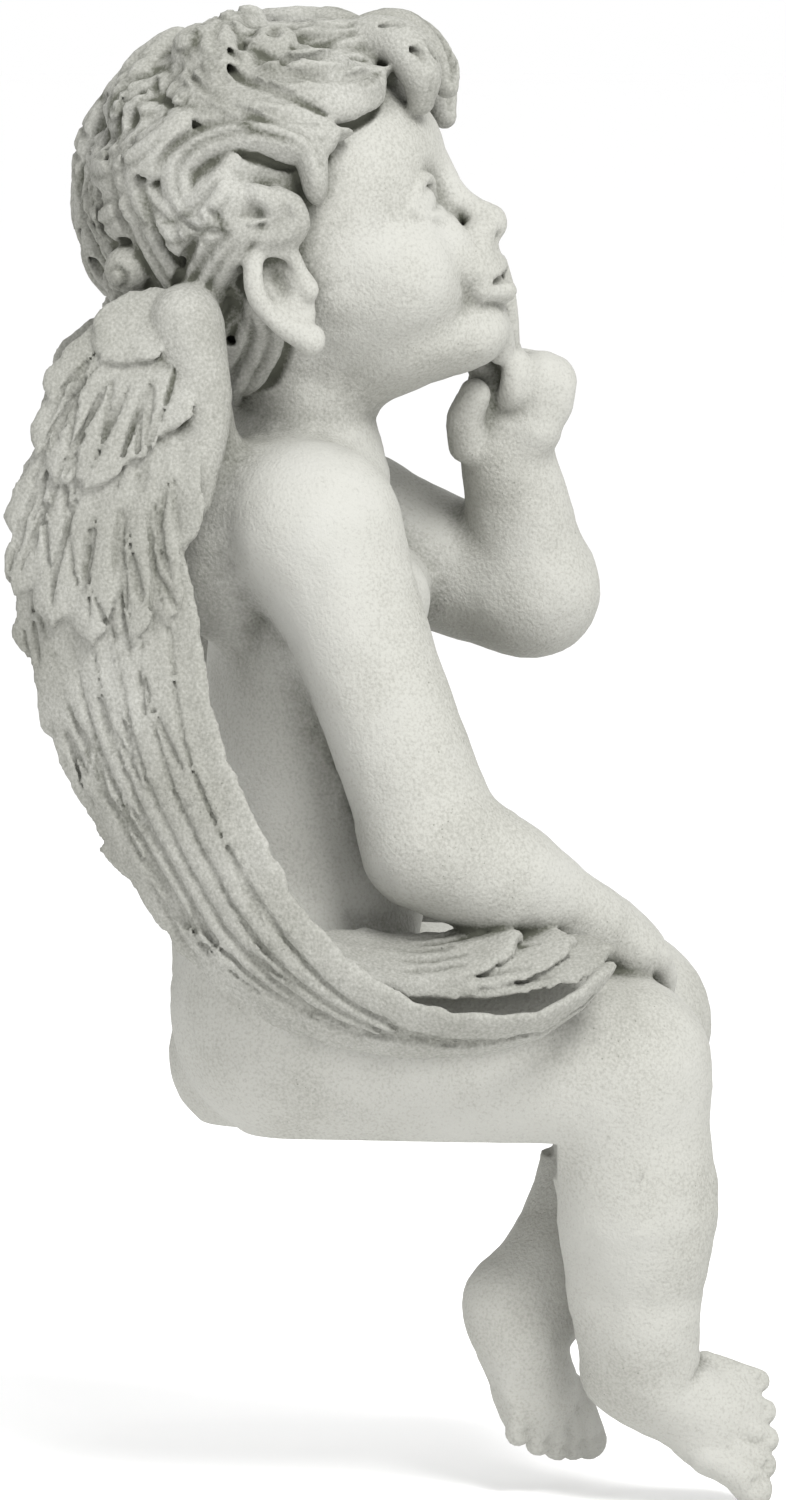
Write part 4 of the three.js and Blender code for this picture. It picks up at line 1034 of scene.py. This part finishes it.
    def circle(self, middle: Array, normal: Array, angle: float, radius: float) -> Array:
        """A point of a circle round a middle, in the plane that the normal stands on."""
        right = unit(np.cross(normal, (0, 0, 1)))
        above = np.cross(right, normal)
        return middle + (right * math.cos(angle) + above * math.sin(angle)) * radius * PART

    def round_curls(self, clay: Clay, side: int) -> None:
        """The hollow of the temple curl, and the round curls, each a coil round a drilled hole."""
        clay.carve(Ball(self.seen(-43, 286, side, 15), (9, 12, 6.5)), 3)
        for forward, up, size, radius, lift in CURLS:
            middle = self.seen(forward, up, side, lift)
            normal = self.faces(middle)
            coil = []
            for i in range(12):
                spot = self.circle(middle, normal, side * (0.6 + 2 * math.pi * i / 10), size * (1 - 0.05 * i))
                coil.append((spot + normal * 0.2 * i, radius * (1 - 0.03 * i)))
            clay.add(Ball(middle - normal * radius, (size + 2,) * 3), 3)
            clay.add(Limb(coil, LINE_PIECES), 2.5)
            hole = max(2.2, size - radius * 0.4)
            clay.carve(Ball(middle + normal * (radius + 1), (hole,) * 3), 1)
        clay.add(Ball(self.seen(-44, 252, side, 2), (2, 2, 2)), 0.6)

    def knobs(self, clay: Clay, side: int) -> None:
        """The knobs behind the head, each with a spiral groove."""
        for x, forward, up, radius in KNOBS:
            middle = at(side * x, forward, up)
            away = unit(middle - self.centre + np.array((side * 30.0, 0, 0)) * PART)
            clay.add(Ball(middle, (radius,) * 3), 2)
            spots = [self.circle(middle, away, side * 0.7 * i, radius * (0.75 - 0.06 * i)) for i in range(9)]
            clay.engrave([(spot, away) for spot in spots], 1.1, 0.2)

    def tufts(self, clay: Clay, side: int) -> None:
        """The short tufts before the ear, and the fillings of the pits between locks."""
        for path in TUFTS:
            spots = [(self.seen(forward, up, side, lift), radius) for forward, up, lift, radius in path]
            clay.add(Limb(spots, LINE_PIECES), 1.6)
        for forward, up in PITS:
            clay.add(Ball(self.seen(forward, up, side, 3.5), (4.2, 4.2, 4.2)), 2)


# Points of the rear and the front edge of a folded wing, from the wrist to the tip on the thigh.
WING_EDGES = (
    ((40, -74, 249), (42, -62, 250)),
    ((42, -99, 227), (46, -52, 239)),
    ((43, -110, 195), (56, -54, 210)),
    ((46, -114, 163), (64, -54, 183)),
    ((52, -107, 131), (68, -49, 158)),
    ((60, -93, 101), (72, -46, 130)),
    ((67, -75, 73), (77, -37, 106)),
    ((72, -56, 50), (81, -25, 84)),
    ((74, -31, 36), (84, -10, 63)),
    ((75, -8, 31), (86, 6, 51)),
    ((75, 20, 33), (86, 22, 46)),
    ((74, 42, 40), (83, 42, 47)),
    ((71, 57, 54), (73, 59, 59)),
)

# Rows of short feathers: height over the face, first and last root, and the tips, all as reach and across.
COVERT_ROWS = (
    (
        5.0,
        ((1.3, -0.55), (1.9, 0.85)),
        ((2.55, -1.25), (3.05, -1.2), (3.45, -0.75), (3.75, -0.3), (3.9, 0.2), (3.85, 0.62), (3.15, 0.98)),
    ),
    (
        6.0,
        ((0.5, -0.5), (0.9, 0.75)),
        ((1.35, -1.25), (1.8, -1.2), (2.15, -0.75), (2.3, -0.25), (2.15, 0.25), (1.95, 0.7)),
    ),
    (6.4, ((0.12, -0.5), (0.2, 0.5)), ((0.75, -1.1), (1.05, -0.6), (1.15, -0.05), (0.95, 0.45))),
)
PLAIN_ROW = 2

# Tips of the long feathers, and how far down their shafts come out from under the short ones.
LONG_TIPS = ((6.3, -1), (7.6, -1), (8.9, -0.95), (10.0, -0.8), (11.0, -0.45), (12, 0.1))
LONG_ROOT = 2.6
LONG_BARE_FROM = 3.7

# Tips of the small feathers that stand out from the rear edge.
REAR_TIPS = (3.6, 4.4, 4.8, 5.6, 6.3)

# Inner feathers that lie on the thigh: where they start and end forward, half the width, the height.
TRAY_FEATHERS = ((-16, 61, 15, 0), (-22, 50, 15, 2), (-24, 34, 14, 3.6))


@dataclass(frozen=True)
class FeatherForm:
    """The cross-section of one kind of feather."""

    half_width: float
    thickness: float
    lean: float
    ridge: float
    tip: float = 0.76

    def blade(self, line: Array, normals: Array, side: int) -> Blade:
        """A feather of this form along a line, on one side of the figure."""
        return Blade(line, normals, self.half_width, self.thickness, side * self.lean, self.ridge, self.tip)


LONG_FEATHER = FeatherForm(10.5, 5.6, 0.16, 0.6)
SHORT_FEATHER = FeatherForm(8.2, 4.8, 0.22, 0.3, 0.82)
REAR_FEATHER = FeatherForm(6, 4.4, 0, 0.3, 0.84)


@dataclass
class Wing:
    """A folded wing: an arm, long flight feathers, and rows of short feathers over their roots."""

    side: int
    inset: float = 8.0
    bulge: float = 6.0
    pieces: int = 24
    over: float = 3.0

    def __post_init__(self) -> None:
        self.spans = len(WING_EDGES) - 1
        self.rear = curve_through([at(*edge) for edge, _ in WING_EDGES], self.pieces)
        self.front = curve_through([at(*edge) for _, edge in WING_EDGES], self.pieces)

    def edge(self, line: Array, reach: float) -> Array:
        """The point of an edge at a reach, counted in spans between its stations."""
        place = min(max(reach, 0), self.spans) * self.pieces
        i = min(int(place), len(line) - 2)
        return line[i] + (line[i + 1] - line[i]) * (place - i)

    def middle(self, reach: float, across: float) -> Array:
        """A point between both edges, a little in from them, on the left side."""
        start, end = self.edge(self.rear, reach), self.edge(self.front, reach)
        inset = min(0.35, self.inset * PART / np.linalg.norm(end - start))
        return start + (end - start) * (inset + (1 - 2 * inset) * (across + 1) / 2)

    def place(self, reach: float, across: float, lift: float) -> tuple[Array, Array]:
        """A point on the wing's outer face and the way that it faces.

        Args:
            reach: how far down the wing, in spans between its stations.
            across: from -1 at the rear edge to 1 at the front edge.
            lift: height over the face.

        Returns:
            The point and the unit normal there.
        """
        share = min(1, max(0, reach / self.spans))
        width = self.edge(self.front, reach) - self.edge(self.rear, reach)
        run = self.middle(reach + 0.1, across) - self.middle(reach - 0.1, across)
        normal = unit(np.cross(width, run))
        if normal[0] < 0:
            normal = -normal
        bulge = self.bulge * (1 - across * across) * math.sin(math.pi * share)
        mirror = np.array((self.side, 1, 1))
        return (self.middle(reach, across) + normal * (bulge + lift)) * mirror, normal * mirror

    def run(self, start: Place, end: Place, lift: float, steps: int = 9) -> tuple[Array, Array]:
        """Points and normals of a feather from one place to another, which rises towards its tip."""
        line, normals = [], []
        for i in range(steps + 1):
            share = i / steps
            reach, across = (a + (b - a) * share for a, b in zip(start, end))
            point, normal = self.place(reach, across, lift * (0.2 + 0.8 * share))
            line.append(point)
            normals.append(normal)
        return np.array(line), np.array(normals)

    def build(self, clay: Clay) -> None:
        """Lays up the whole wing."""
        self.arm(clay)
        self.long_feathers(clay)
        self.short_feathers(clay)
        self.tray(clay)

    def arm(self, clay: Clay) -> None:
        """The wing's root on the back, its arm up to the wrist, and its front edge."""
        s = self.side
        clay.add(Ball(at(s * 34, -58, 182), (13, 13, 32)), 12)
        root = [(at(s * 22, -48, 166), 13), (at(s * 36, -58, 196), 12)]
        root += [(at(s * 42, -62, 222), 12), (at(s * 45, -62, 240), 10.5)]
        clay.add(Limb(root), 4)
        edge = [(at(s * 45, -64, 242), 9.5), (at(s * 51, -57, 220), 8)]
        edge += [(at(s * 57, -57, 200), 5), (at(s * 60, -58, 188), 2.5)]
        clay.add(Limb(edge), 4)

    def long_feathers(self, clay: Clay) -> None:
        """The flight feathers, the rearmost lowest in the stack."""
        last = len(LONG_TIPS) - 1
        starts = [(LONG_ROOT, -0.8 + 1.5 * n / last) for n in range(last + 1)]
        for n, (start, end) in enumerate(zip(starts, LONG_TIPS)):
            line, normals = self.run(start, end, 0.9 * n, 16)
            clay.add(LONG_FEATHER.blade(line, normals, self.side), 0.4)
        for n, (start, end) in enumerate(zip(starts, LONG_TIPS)):
            bare = (LONG_BARE_FROM - start[0]) / (end[0] - start[0])
            self.shaft(clay, start, end, bare, 0.97)
            self.barbs(clay, start, end, n, round(0.8 * (end[0] - LONG_BARE_FROM)), (bare, 0.96))

    def short_feathers(self, clay: Clay) -> None:
        """Rows of short feathers, from the lowest row up to the wrist, and those of the rear edge."""
        for row, (lift, roots, tips) in enumerate(COVERT_ROWS):
            places = list(zip(self.between(roots, len(tips)), tips))
            for begin, finish in places:
                line, normals = self.run(begin, finish, lift)
                clay.add(SHORT_FEATHER.blade(line, normals, self.side), 0.4)
            for n, (begin, finish) in enumerate(places):
                if row != PLAIN_ROW:
                    self.shaft(clay, begin, finish, 0.45, 0.9)
                    self.barbs(clay, begin, finish, 10 + 7 * row + n, 3, (0.4, 0.9))
        for n, reach in enumerate(REAR_TIPS):
            begin, finish = (reach - 1.1, -0.6), (reach, -1.25)
            line, normals = self.run(begin, finish, 1.2)
            clay.add(REAR_FEATHER.blade(line, normals, self.side), 0.4)
            self.barbs(clay, begin, finish, 40 + n, 2, (0.5, 0.9))

    def between(self, roots: tuple[Place, Place], count: int) -> list[Place]:
        """Places spread evenly from one root to another."""
        first, last = np.array(roots)
        return [tuple(first + (last - first) * n / (count - 1)) for n in range(count)]

    def shaft(self, clay: Clay, start: Place, end: Place, first: float, last: float) -> None:
        """Cuts the line of a feather's shaft between two shares of its length."""
        points = []
        for share in np.linspace(first, last, max(7, int(3 * (end[0] - start[0])))):
            reach, across = (a + (b - a) * share for a, b in zip(start, end))
            points.append(self.place(reach, across, self.over))
        clay.engrave(points, 1.0, 0.5)

    def barbs(self, clay: Clay, start: Place, end: Place, seed: int, count: int, part: Place) -> None:
        """Cuts slashes beside a feather's shaft.

        Args:
            clay: what they are cut into.
            start: reach and across of the feather's root.
            end: reach and across of its tip.
            seed: tells one feather's slashes from another's.
            count: how many places on each side of the shaft may have one.
            part: the shares of the feather's length that they lie between.
        """
        random = np.random.default_rng(SEED + seed)
        for n in range(2 * count):
            share = part[0] + (part[1] - part[0]) * (n // 2 + random.uniform(0.1, 0.9)) / count
            reach, across = (a + (b - a) * share for a, b in zip(start, end))
            sign = 1 if n % 2 else -1
            near, far = random.uniform(0.04, 0.08), random.uniform(0.14, 0.2)
            long = random.uniform(0.4, 0.75)
            if random.random() < 0.45:
                continue
            points = []
            for k in (0, 0.2, 0.4, 0.6, 0.8, 1):
                beside = across + sign * (near + (far - near) * k)
                points.append(self.place(reach + long * k, beside, self.over))
            if beside < 0.82:
                clay.engrave(points, random.uniform(0.8, 1.0), 0.45)

    def tray(self, clay: Clay) -> None:
        """The inner feathers at the wing's tip, which lie on the thigh as a shallow tray."""
        for start, end, half_width, lift in TRAY_FEATHERS:
            line, normals = [], []
            for i in range(9):
                share = i / 8
                forward = start + (end - start) * share
                up = 56 + lift - 5 * math.sin(math.pi * share) + 3 * share
                line.append(at(self.side * (68 - 2 * share), forward, up))
                normals.append(along(self.side * 0.42, 0, 0.9))
            blade = Blade(np.array(line), np.array(normals), half_width * PART, 5, ridge=0.6)
            clay.add(blade, 0.8)
            random = np.random.default_rng(SEED + int(lift * 10))
            for part in (-0.62, -0.3, 0.0, 0.34, 0.66):
                first = random.uniform(0.3, 0.5)
                shares = np.linspace(first, first + random.uniform(0.25, 0.45), 6)
                points = [blade.face(t, part * float(blade.width(t))) for t in shares]
                clay.engrave([(point, normals[0]) for point in points], 1.0, 0.2)


@dataclass
class Casting:
    """The whole figure as one closed mesh."""

    step: float = GRID_STEP
    coarse_bumps: Place = (7.0, 0.16)
    fine_bumps: Place = (2.6, 0.10)
    crease: float = 1.6
    hollow: float = 6.0
    carving_edge: float = 2.0

    def model(self) -> Clay:
        """Lays up the figure in clay.

        Returns:
            The clay, with its seat cut.
        """
        clay = Clay(at(*CLAY_LOW), at(*CLAY_HIGH), self.step)
        trunk, legs, head = Trunk(), Legs(), Head()
        trunk.build(clay)
        legs.build_thighs(clay)
        trunk.build_neck(clay)
        legs.build(clay)
        arms = Arms()
        arms.build(clay)
        head.build(clay)
        arms.fingertips(clay)
        clay.texturing = True
        Hair().build(clay)
        clay.texturing = False
        for side in Side:
            head.ear(clay, side.value)
        clay.texturing = True
        for side in Side:
            Wing(side.value).build(clay)
            log.info("wing %s laid up", side.name.lower())
        clay.roughen(*self.coarse_bumps, SEED)
        clay.roughen(*self.fine_bumps, SEED + 1)
        clay.cut_seat()
        return clay

    def build(self) -> bpy.types.Object:
        """Casts the clay.

        Returns:
            The object, with the attributes that its finish uses.
        """
        clay = self.model()
        mesh = self.skin(clay)
        piece = bpy.data.objects.new(NODE + "_casting", mesh)
        bpy.context.collection.objects.link(piece)
        self.thin_out(piece)
        self.mark_hollows(piece, clay)
        return piece

    def skin(self, clay: Clay) -> bpy.types.Mesh:
        """The surface where the field is zero."""
        grid = openvdb.FloatGrid(FAR)
        grid.copyFromArray(np.ascontiguousarray(clay.values))
        points, triangles, quads = grid.convertToPolygons(0.0, 0.0)
        points = points * clay.step + clay.low
        faces = np.concatenate((quads[:, [0, 1, 2]], quads[:, [0, 2, 3]], triangles))
        faces = self.main_body(faces, len(points))
        used, faces = np.unique(faces, return_inverse=True)
        faces = faces.reshape(-1, 3)
        points = points[used]
        a, b, c = (points[faces[:, k]] for k in range(3))
        if np.einsum("ij,ij->i", a, np.cross(b, c)).sum() < 0:
            faces = faces[:, ::-1]
        mesh = bpy.data.meshes.new(NODE + "_casting")
        mesh.vertices.add(len(points))
        mesh.vertices.foreach_set("co", (points / MM_PER_M).astype(np.float32).ravel())
        mesh.loops.add(faces.size)
        mesh.loops.foreach_set("vertex_index", faces.astype(np.int32).ravel())
        mesh.polygons.add(len(faces))
        mesh.polygons.foreach_set("loop_start", np.arange(0, faces.size, 3, dtype=np.int32))
        mesh.update(calc_edges=True)
        mesh.validate()
        log.info("surface: %d points, %d triangles", len(points), len(faces))
        return mesh

    def main_body(self, faces: Array, count: int) -> Array:
        """Leaves out crumbs and sealed bubbles: only the largest connected skin stays."""
        label = np.arange(count)
        while True:
            least = label[faces].min(1)
            fresh = label.copy()
            for k in range(3):
                np.minimum.at(fresh, faces[:, k], least)
            fresh = fresh[fresh]
            if np.array_equal(fresh, label):
                break
            label = fresh
        owners = label[faces[:, 0]]
        names, sizes = np.unique(owners, return_counts=True)
        return faces[owners == names[sizes.argmax()]]

    def thin_out(self, piece: bpy.types.Object) -> None:
        """Brings the mesh under its limit of triangles, with the fewest on smooth skin."""
        bpy.ops.object.select_all(action="DESELECT")
        piece.select_set(True)
        bpy.context.view_layer.objects.active = piece
        count = len(piece.data.polygons)
        if count > TRIANGLES:
            modifier = piece.modifiers.new("thin out", "DECIMATE")
            modifier.ratio = TRIANGLES / count
            bpy.ops.object.modifier_apply(modifier=modifier.name)
        bpy.ops.object.shade_smooth()
        log.info("casting: %d triangles", len(piece.data.polygons))

    def mark_hollows(self, piece: bpy.types.Object, clay: Clay) -> None:
        """Stores for each point how deep in a hollow it lies, and whether it is carved or in a groove; the
        material paints shade in hollows and grooves and darkens carved parts.
        """
        count = len(piece.data.vertices)
        points = np.zeros(count * 3, np.float32)
        piece.data.vertices.foreach_get("co", points)
        points = points.reshape(-1, 3) * MM_PER_M
        tight = clay.sample(clay.crowding(self.crease), points)
        broad = clay.sample(clay.crowding(self.hollow), points)
        # Painted shade: points deep in creases and hollows are painted darker, in place of ambient shade.
        hollow = np.clip((tight - 0.5) * 2.0 + (broad - 0.52) * 2.6, 0, 1)
        # Carved hair and wings are coloured somewhat darker.
        carved = clay.sample(clay.spread(clay.textured, self.carving_edge), points)
        groove_shade = clay.sample(clay.groove_shade, points)
        for name, amounts in (("hollow", hollow), ("carved", carved), ("groove_shade", groove_shade)):
            mark = piece.data.attributes.new(name, "FLOAT", "POINT")
            mark.data.foreach_set("value", amounts.astype(np.float32))


@dataclass
class StoneMaterial:
    """Matt cast stone with painted shade in its hollows and grooves, dark dirt mottling, fine grain and
    pinholes.
    """

    finish: StoneFinish = STONE

    def build(self) -> bpy.types.Material:
        """Makes the material.

        Returns:
            The material, which reads the casting's three attributes.
        """
        finish = self.finish
        material = bpy.data.materials.new("aged_stone")
        material.use_nodes = True
        tree = material.node_tree
        shader = tree.nodes["Principled BSDF"]
        shader.inputs["Roughness"].default_value = finish.roughness
        shader.inputs["Specular IOR Level"].default_value = finish.specular
        place = tree.nodes.new("ShaderNodeTexCoord").outputs["Object"]
        cloud = self.noise(tree, place, finish.clouds_per_metre, 5.0)
        grain = self.noise(tree, place, finish.grain_per_metre, 2.0)
        dirtied_and_shaded = self.dirt_and_painted_shade(tree, place, cloud)
        pit = self.pits(tree, place, cloud, grain)
        spotted = self.mix(tree, self.math(tree, "MULTIPLY", pit, finish.pit_tint), dirtied_and_shaded, finish.dirt_and_painted_shade)
        tree.links.new(spotted, shader.inputs["Base Color"])
        bump = tree.nodes.new("ShaderNodeBump")
        bump.inputs["Strength"].default_value = finish.bump_strength
        bump.inputs["Distance"].default_value = finish.bump_height
        relief = self.math(tree, "MULTIPLY_ADD", pit, finish.pit_depth, grain)
        tree.links.new(relief, bump.inputs["Height"])
        tree.links.new(bump.outputs["Normal"], shader.inputs["Normal"])
        return material

    def dirt_and_painted_shade(self, tree: NodeTree, place: NodeSocket, cloud: NodeSocket) -> NodeSocket:
        """Mottled stone with dirt and painted shade: shade in hollows and grooves, darker carved parts, and
        dark clouds and specks.
        """
        finish = self.finish
        mottled = self.mix(tree, cloud, finish.light, finish.warm)
        # Painted shade in hollows and grooves, darker carved parts, and dirt in the clouds and specks add up
        # to how dark the stone is painted.
        amount = self.attribute(tree, "hollow")
        for source, share in (
            (cloud, finish.wash_in_clouds),
            (self.attribute(tree, "carved"), finish.darkening_on_carving),
            # The insides of grooves get painted shade.
            (self.attribute(tree, "groove_shade"), finish.painted_shade_in_grooves),
            (self.noise(tree, place, finish.specks_per_metre, 3.0), finish.wash_in_specks),
        ):
            amount = self.math(tree, "MULTIPLY_ADD", source, share, amount)
        amount = self.math(tree, "SUBTRACT", amount, finish.darkening_start)
        amount = self.math(tree, "MULTIPLY", amount, finish.darkening_gain, clamp=True)
        return self.mix(tree, amount, mottled, finish.dirt_and_painted_shade)

    def pits(self, tree: NodeTree, place: NodeSocket, cloud: NodeSocket, grain: NodeSocket) -> NodeSocket:
        """Pinholes of uneven size, in patches."""
        cells = tree.nodes.new("ShaderNodeTexVoronoi")
        cells.inputs["Scale"].default_value = self.finish.pits_per_metre
        tree.links.new(place, cells.inputs["Vector"])
        size = self.math(tree, "MULTIPLY_ADD", grain, self.finish.pit_growth, self.finish.pit_least)
        pit = self.math(tree, "LESS_THAN", cells.outputs["Distance"], size)
        patch = self.math(tree, "GREATER_THAN", cloud, self.finish.pitted_from)
        return self.math(tree, "MULTIPLY", pit, patch)

    def attribute(self, tree: NodeTree, name: str) -> NodeSocket:
        """The socket of one of the casting's attributes."""
        node = tree.nodes.new("ShaderNodeAttribute")
        node.attribute_name = name
        return node.outputs["Fac"]

    def noise(self, tree: NodeTree, place: NodeSocket, scale: float, detail: float) -> NodeSocket:
        """The socket of a noise with so many features to a metre."""
        node = tree.nodes.new("ShaderNodeTexNoise")
        node.inputs["Scale"].default_value = scale
        node.inputs["Detail"].default_value = detail
        tree.links.new(place, node.inputs["Vector"])
        return node.outputs["Fac"]

    def math(self, tree: NodeTree, operation: str, *values: NodeSocket | float,
             clamp: bool = False) -> NodeSocket:
        """The socket of a sum, from other sockets and plain numbers."""
        node = tree.nodes.new("ShaderNodeMath")
        node.operation = operation
        node.use_clamp = clamp
        for socket, value in zip(node.inputs, values):
            if isinstance(value, (int, float)):
                socket.default_value = value
            else:
                tree.links.new(value, socket)
        return node.outputs[0]

    def mix(self, tree: NodeTree, share: NodeSocket,
            a: NodeSocket | Point, b: NodeSocket | Point) -> NodeSocket:
        """The socket of a colour between two others."""
        node = tree.nodes.new("ShaderNodeMix")
        node.data_type = "RGBA"
        tree.links.new(share, node.inputs["Factor"])
        for name, value in (("A", a), ("B", b)):
            socket = next(s for s in node.inputs if s.name == name and s.type == "RGBA")
            if isinstance(value, tuple):
                socket.default_value = (*value, 1)
            else:
                tree.links.new(value, socket)
        return next(s for s in node.outputs if s.type == "RGBA")


@dataclass(frozen=True)
class Lamp:
    """A soft square light: where it stands in metres, its power in watts and its width."""

    name: str
    place: Point
    watts: float
    width: float


@dataclass
class Studio:
    """Floor, light and camera, which looks along +X as the photo does."""

    key: Lamp = Lamp("key", (-1.5, -0.7, 1.9), 66, 0.9)
    fill: Lamp = Lamp("fill", (-1.6, 1.3, 0.5), 4, 1.6)
    aim: Point = (0, 0, 0.12)
    white: tuple[float, float, float, float] = (1, 1, 1, 1)
    floor_size: float = 40
    floor_gap: float = 0.0005
    sensor: float = 36
    millimetres_per_pixel: float = 0.2933
    image_height: int = 1500
    centre_forward: float = -2.05
    centre_up: float = 115.85
    plane_side: float = -50.0
    elevation: float = 5.0
    distance: float = 3.0

    def build(self) -> None:
        """Sets up the floor, the lights and the camera."""
        bpy.context.scene.view_settings.view_transform = "Standard"
        self.floor()
        self.lights()
        self.camera()

    def floor(self) -> None:
        """A pale floor just under the lowest toe."""
        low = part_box(NODE)[0]
        bpy.ops.mesh.primitive_plane_add(size=self.floor_size, location=(0, 0, low.z - self.floor_gap))
        floor = bpy.context.object
        floor.name = "studio_floor"
        paint = bpy.data.materials.new("pale_floor")
        paint.use_nodes = True
        shader = paint.node_tree.nodes["Principled BSDF"]
        shader.inputs["Base Color"].default_value = self.white
        shader.inputs["Roughness"].default_value = 0.9
        floor.data.materials.append(paint)

    def lights(self) -> None:
        """Even white light from all round, with a soft key from above and a weak fill."""
        world = bpy.data.worlds.new("studio")
        bpy.context.scene.world = world
        world.use_nodes = True
        backdrop = world.node_tree.nodes["Background"]
        backdrop.inputs["Color"].default_value = self.white
        backdrop.inputs["Strength"].default_value = 1.0
        for soft in (self.key, self.fill):
            light = bpy.data.lights.new(soft.name, "AREA")
            light.energy = soft.watts
            light.size = soft.width
            lamp = bpy.data.objects.new(soft.name, light)
            lamp.location = soft.place
            look = Vector(self.aim) - Vector(soft.place)
            lamp.rotation_euler = look.to_track_quat("-Z", "Y").to_euler()
            bpy.context.collection.objects.link(lamp)

    def camera(self) -> None:
        """A long lens at the distance that gives the photo's scale in the plane of the near side."""
        tilt = math.radians(self.elevation)
        target = Vector((self.plane_side, -self.centre_forward, self.centre_up)) / MM_PER_M
        look = Vector((math.cos(tilt), 0, -math.sin(tilt)))
        data = bpy.data.cameras.new("photo_view")
        data.sensor_width = self.sensor
        height = self.image_height * self.millimetres_per_pixel / MM_PER_M
        data.lens = self.sensor * self.distance / height
        data.clip_end = 100
        camera = bpy.data.objects.new("photo_view", data)
        camera.location = target - look * self.distance
        camera.rotation_euler = look.to_track_quat("-Z", "Y").to_euler()
        bpy.context.collection.objects.link(camera)
        bpy.context.scene.camera = camera


def main() -> None:
    """Casts the figure, finishes it and sets up the studio."""
    Studio().build()
    piece = Casting().build()
    piece.data.materials.append(StoneMaterial().build())
    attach(piece, "root")
    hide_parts(NODE)


if __name__ == "__main__":
    main()
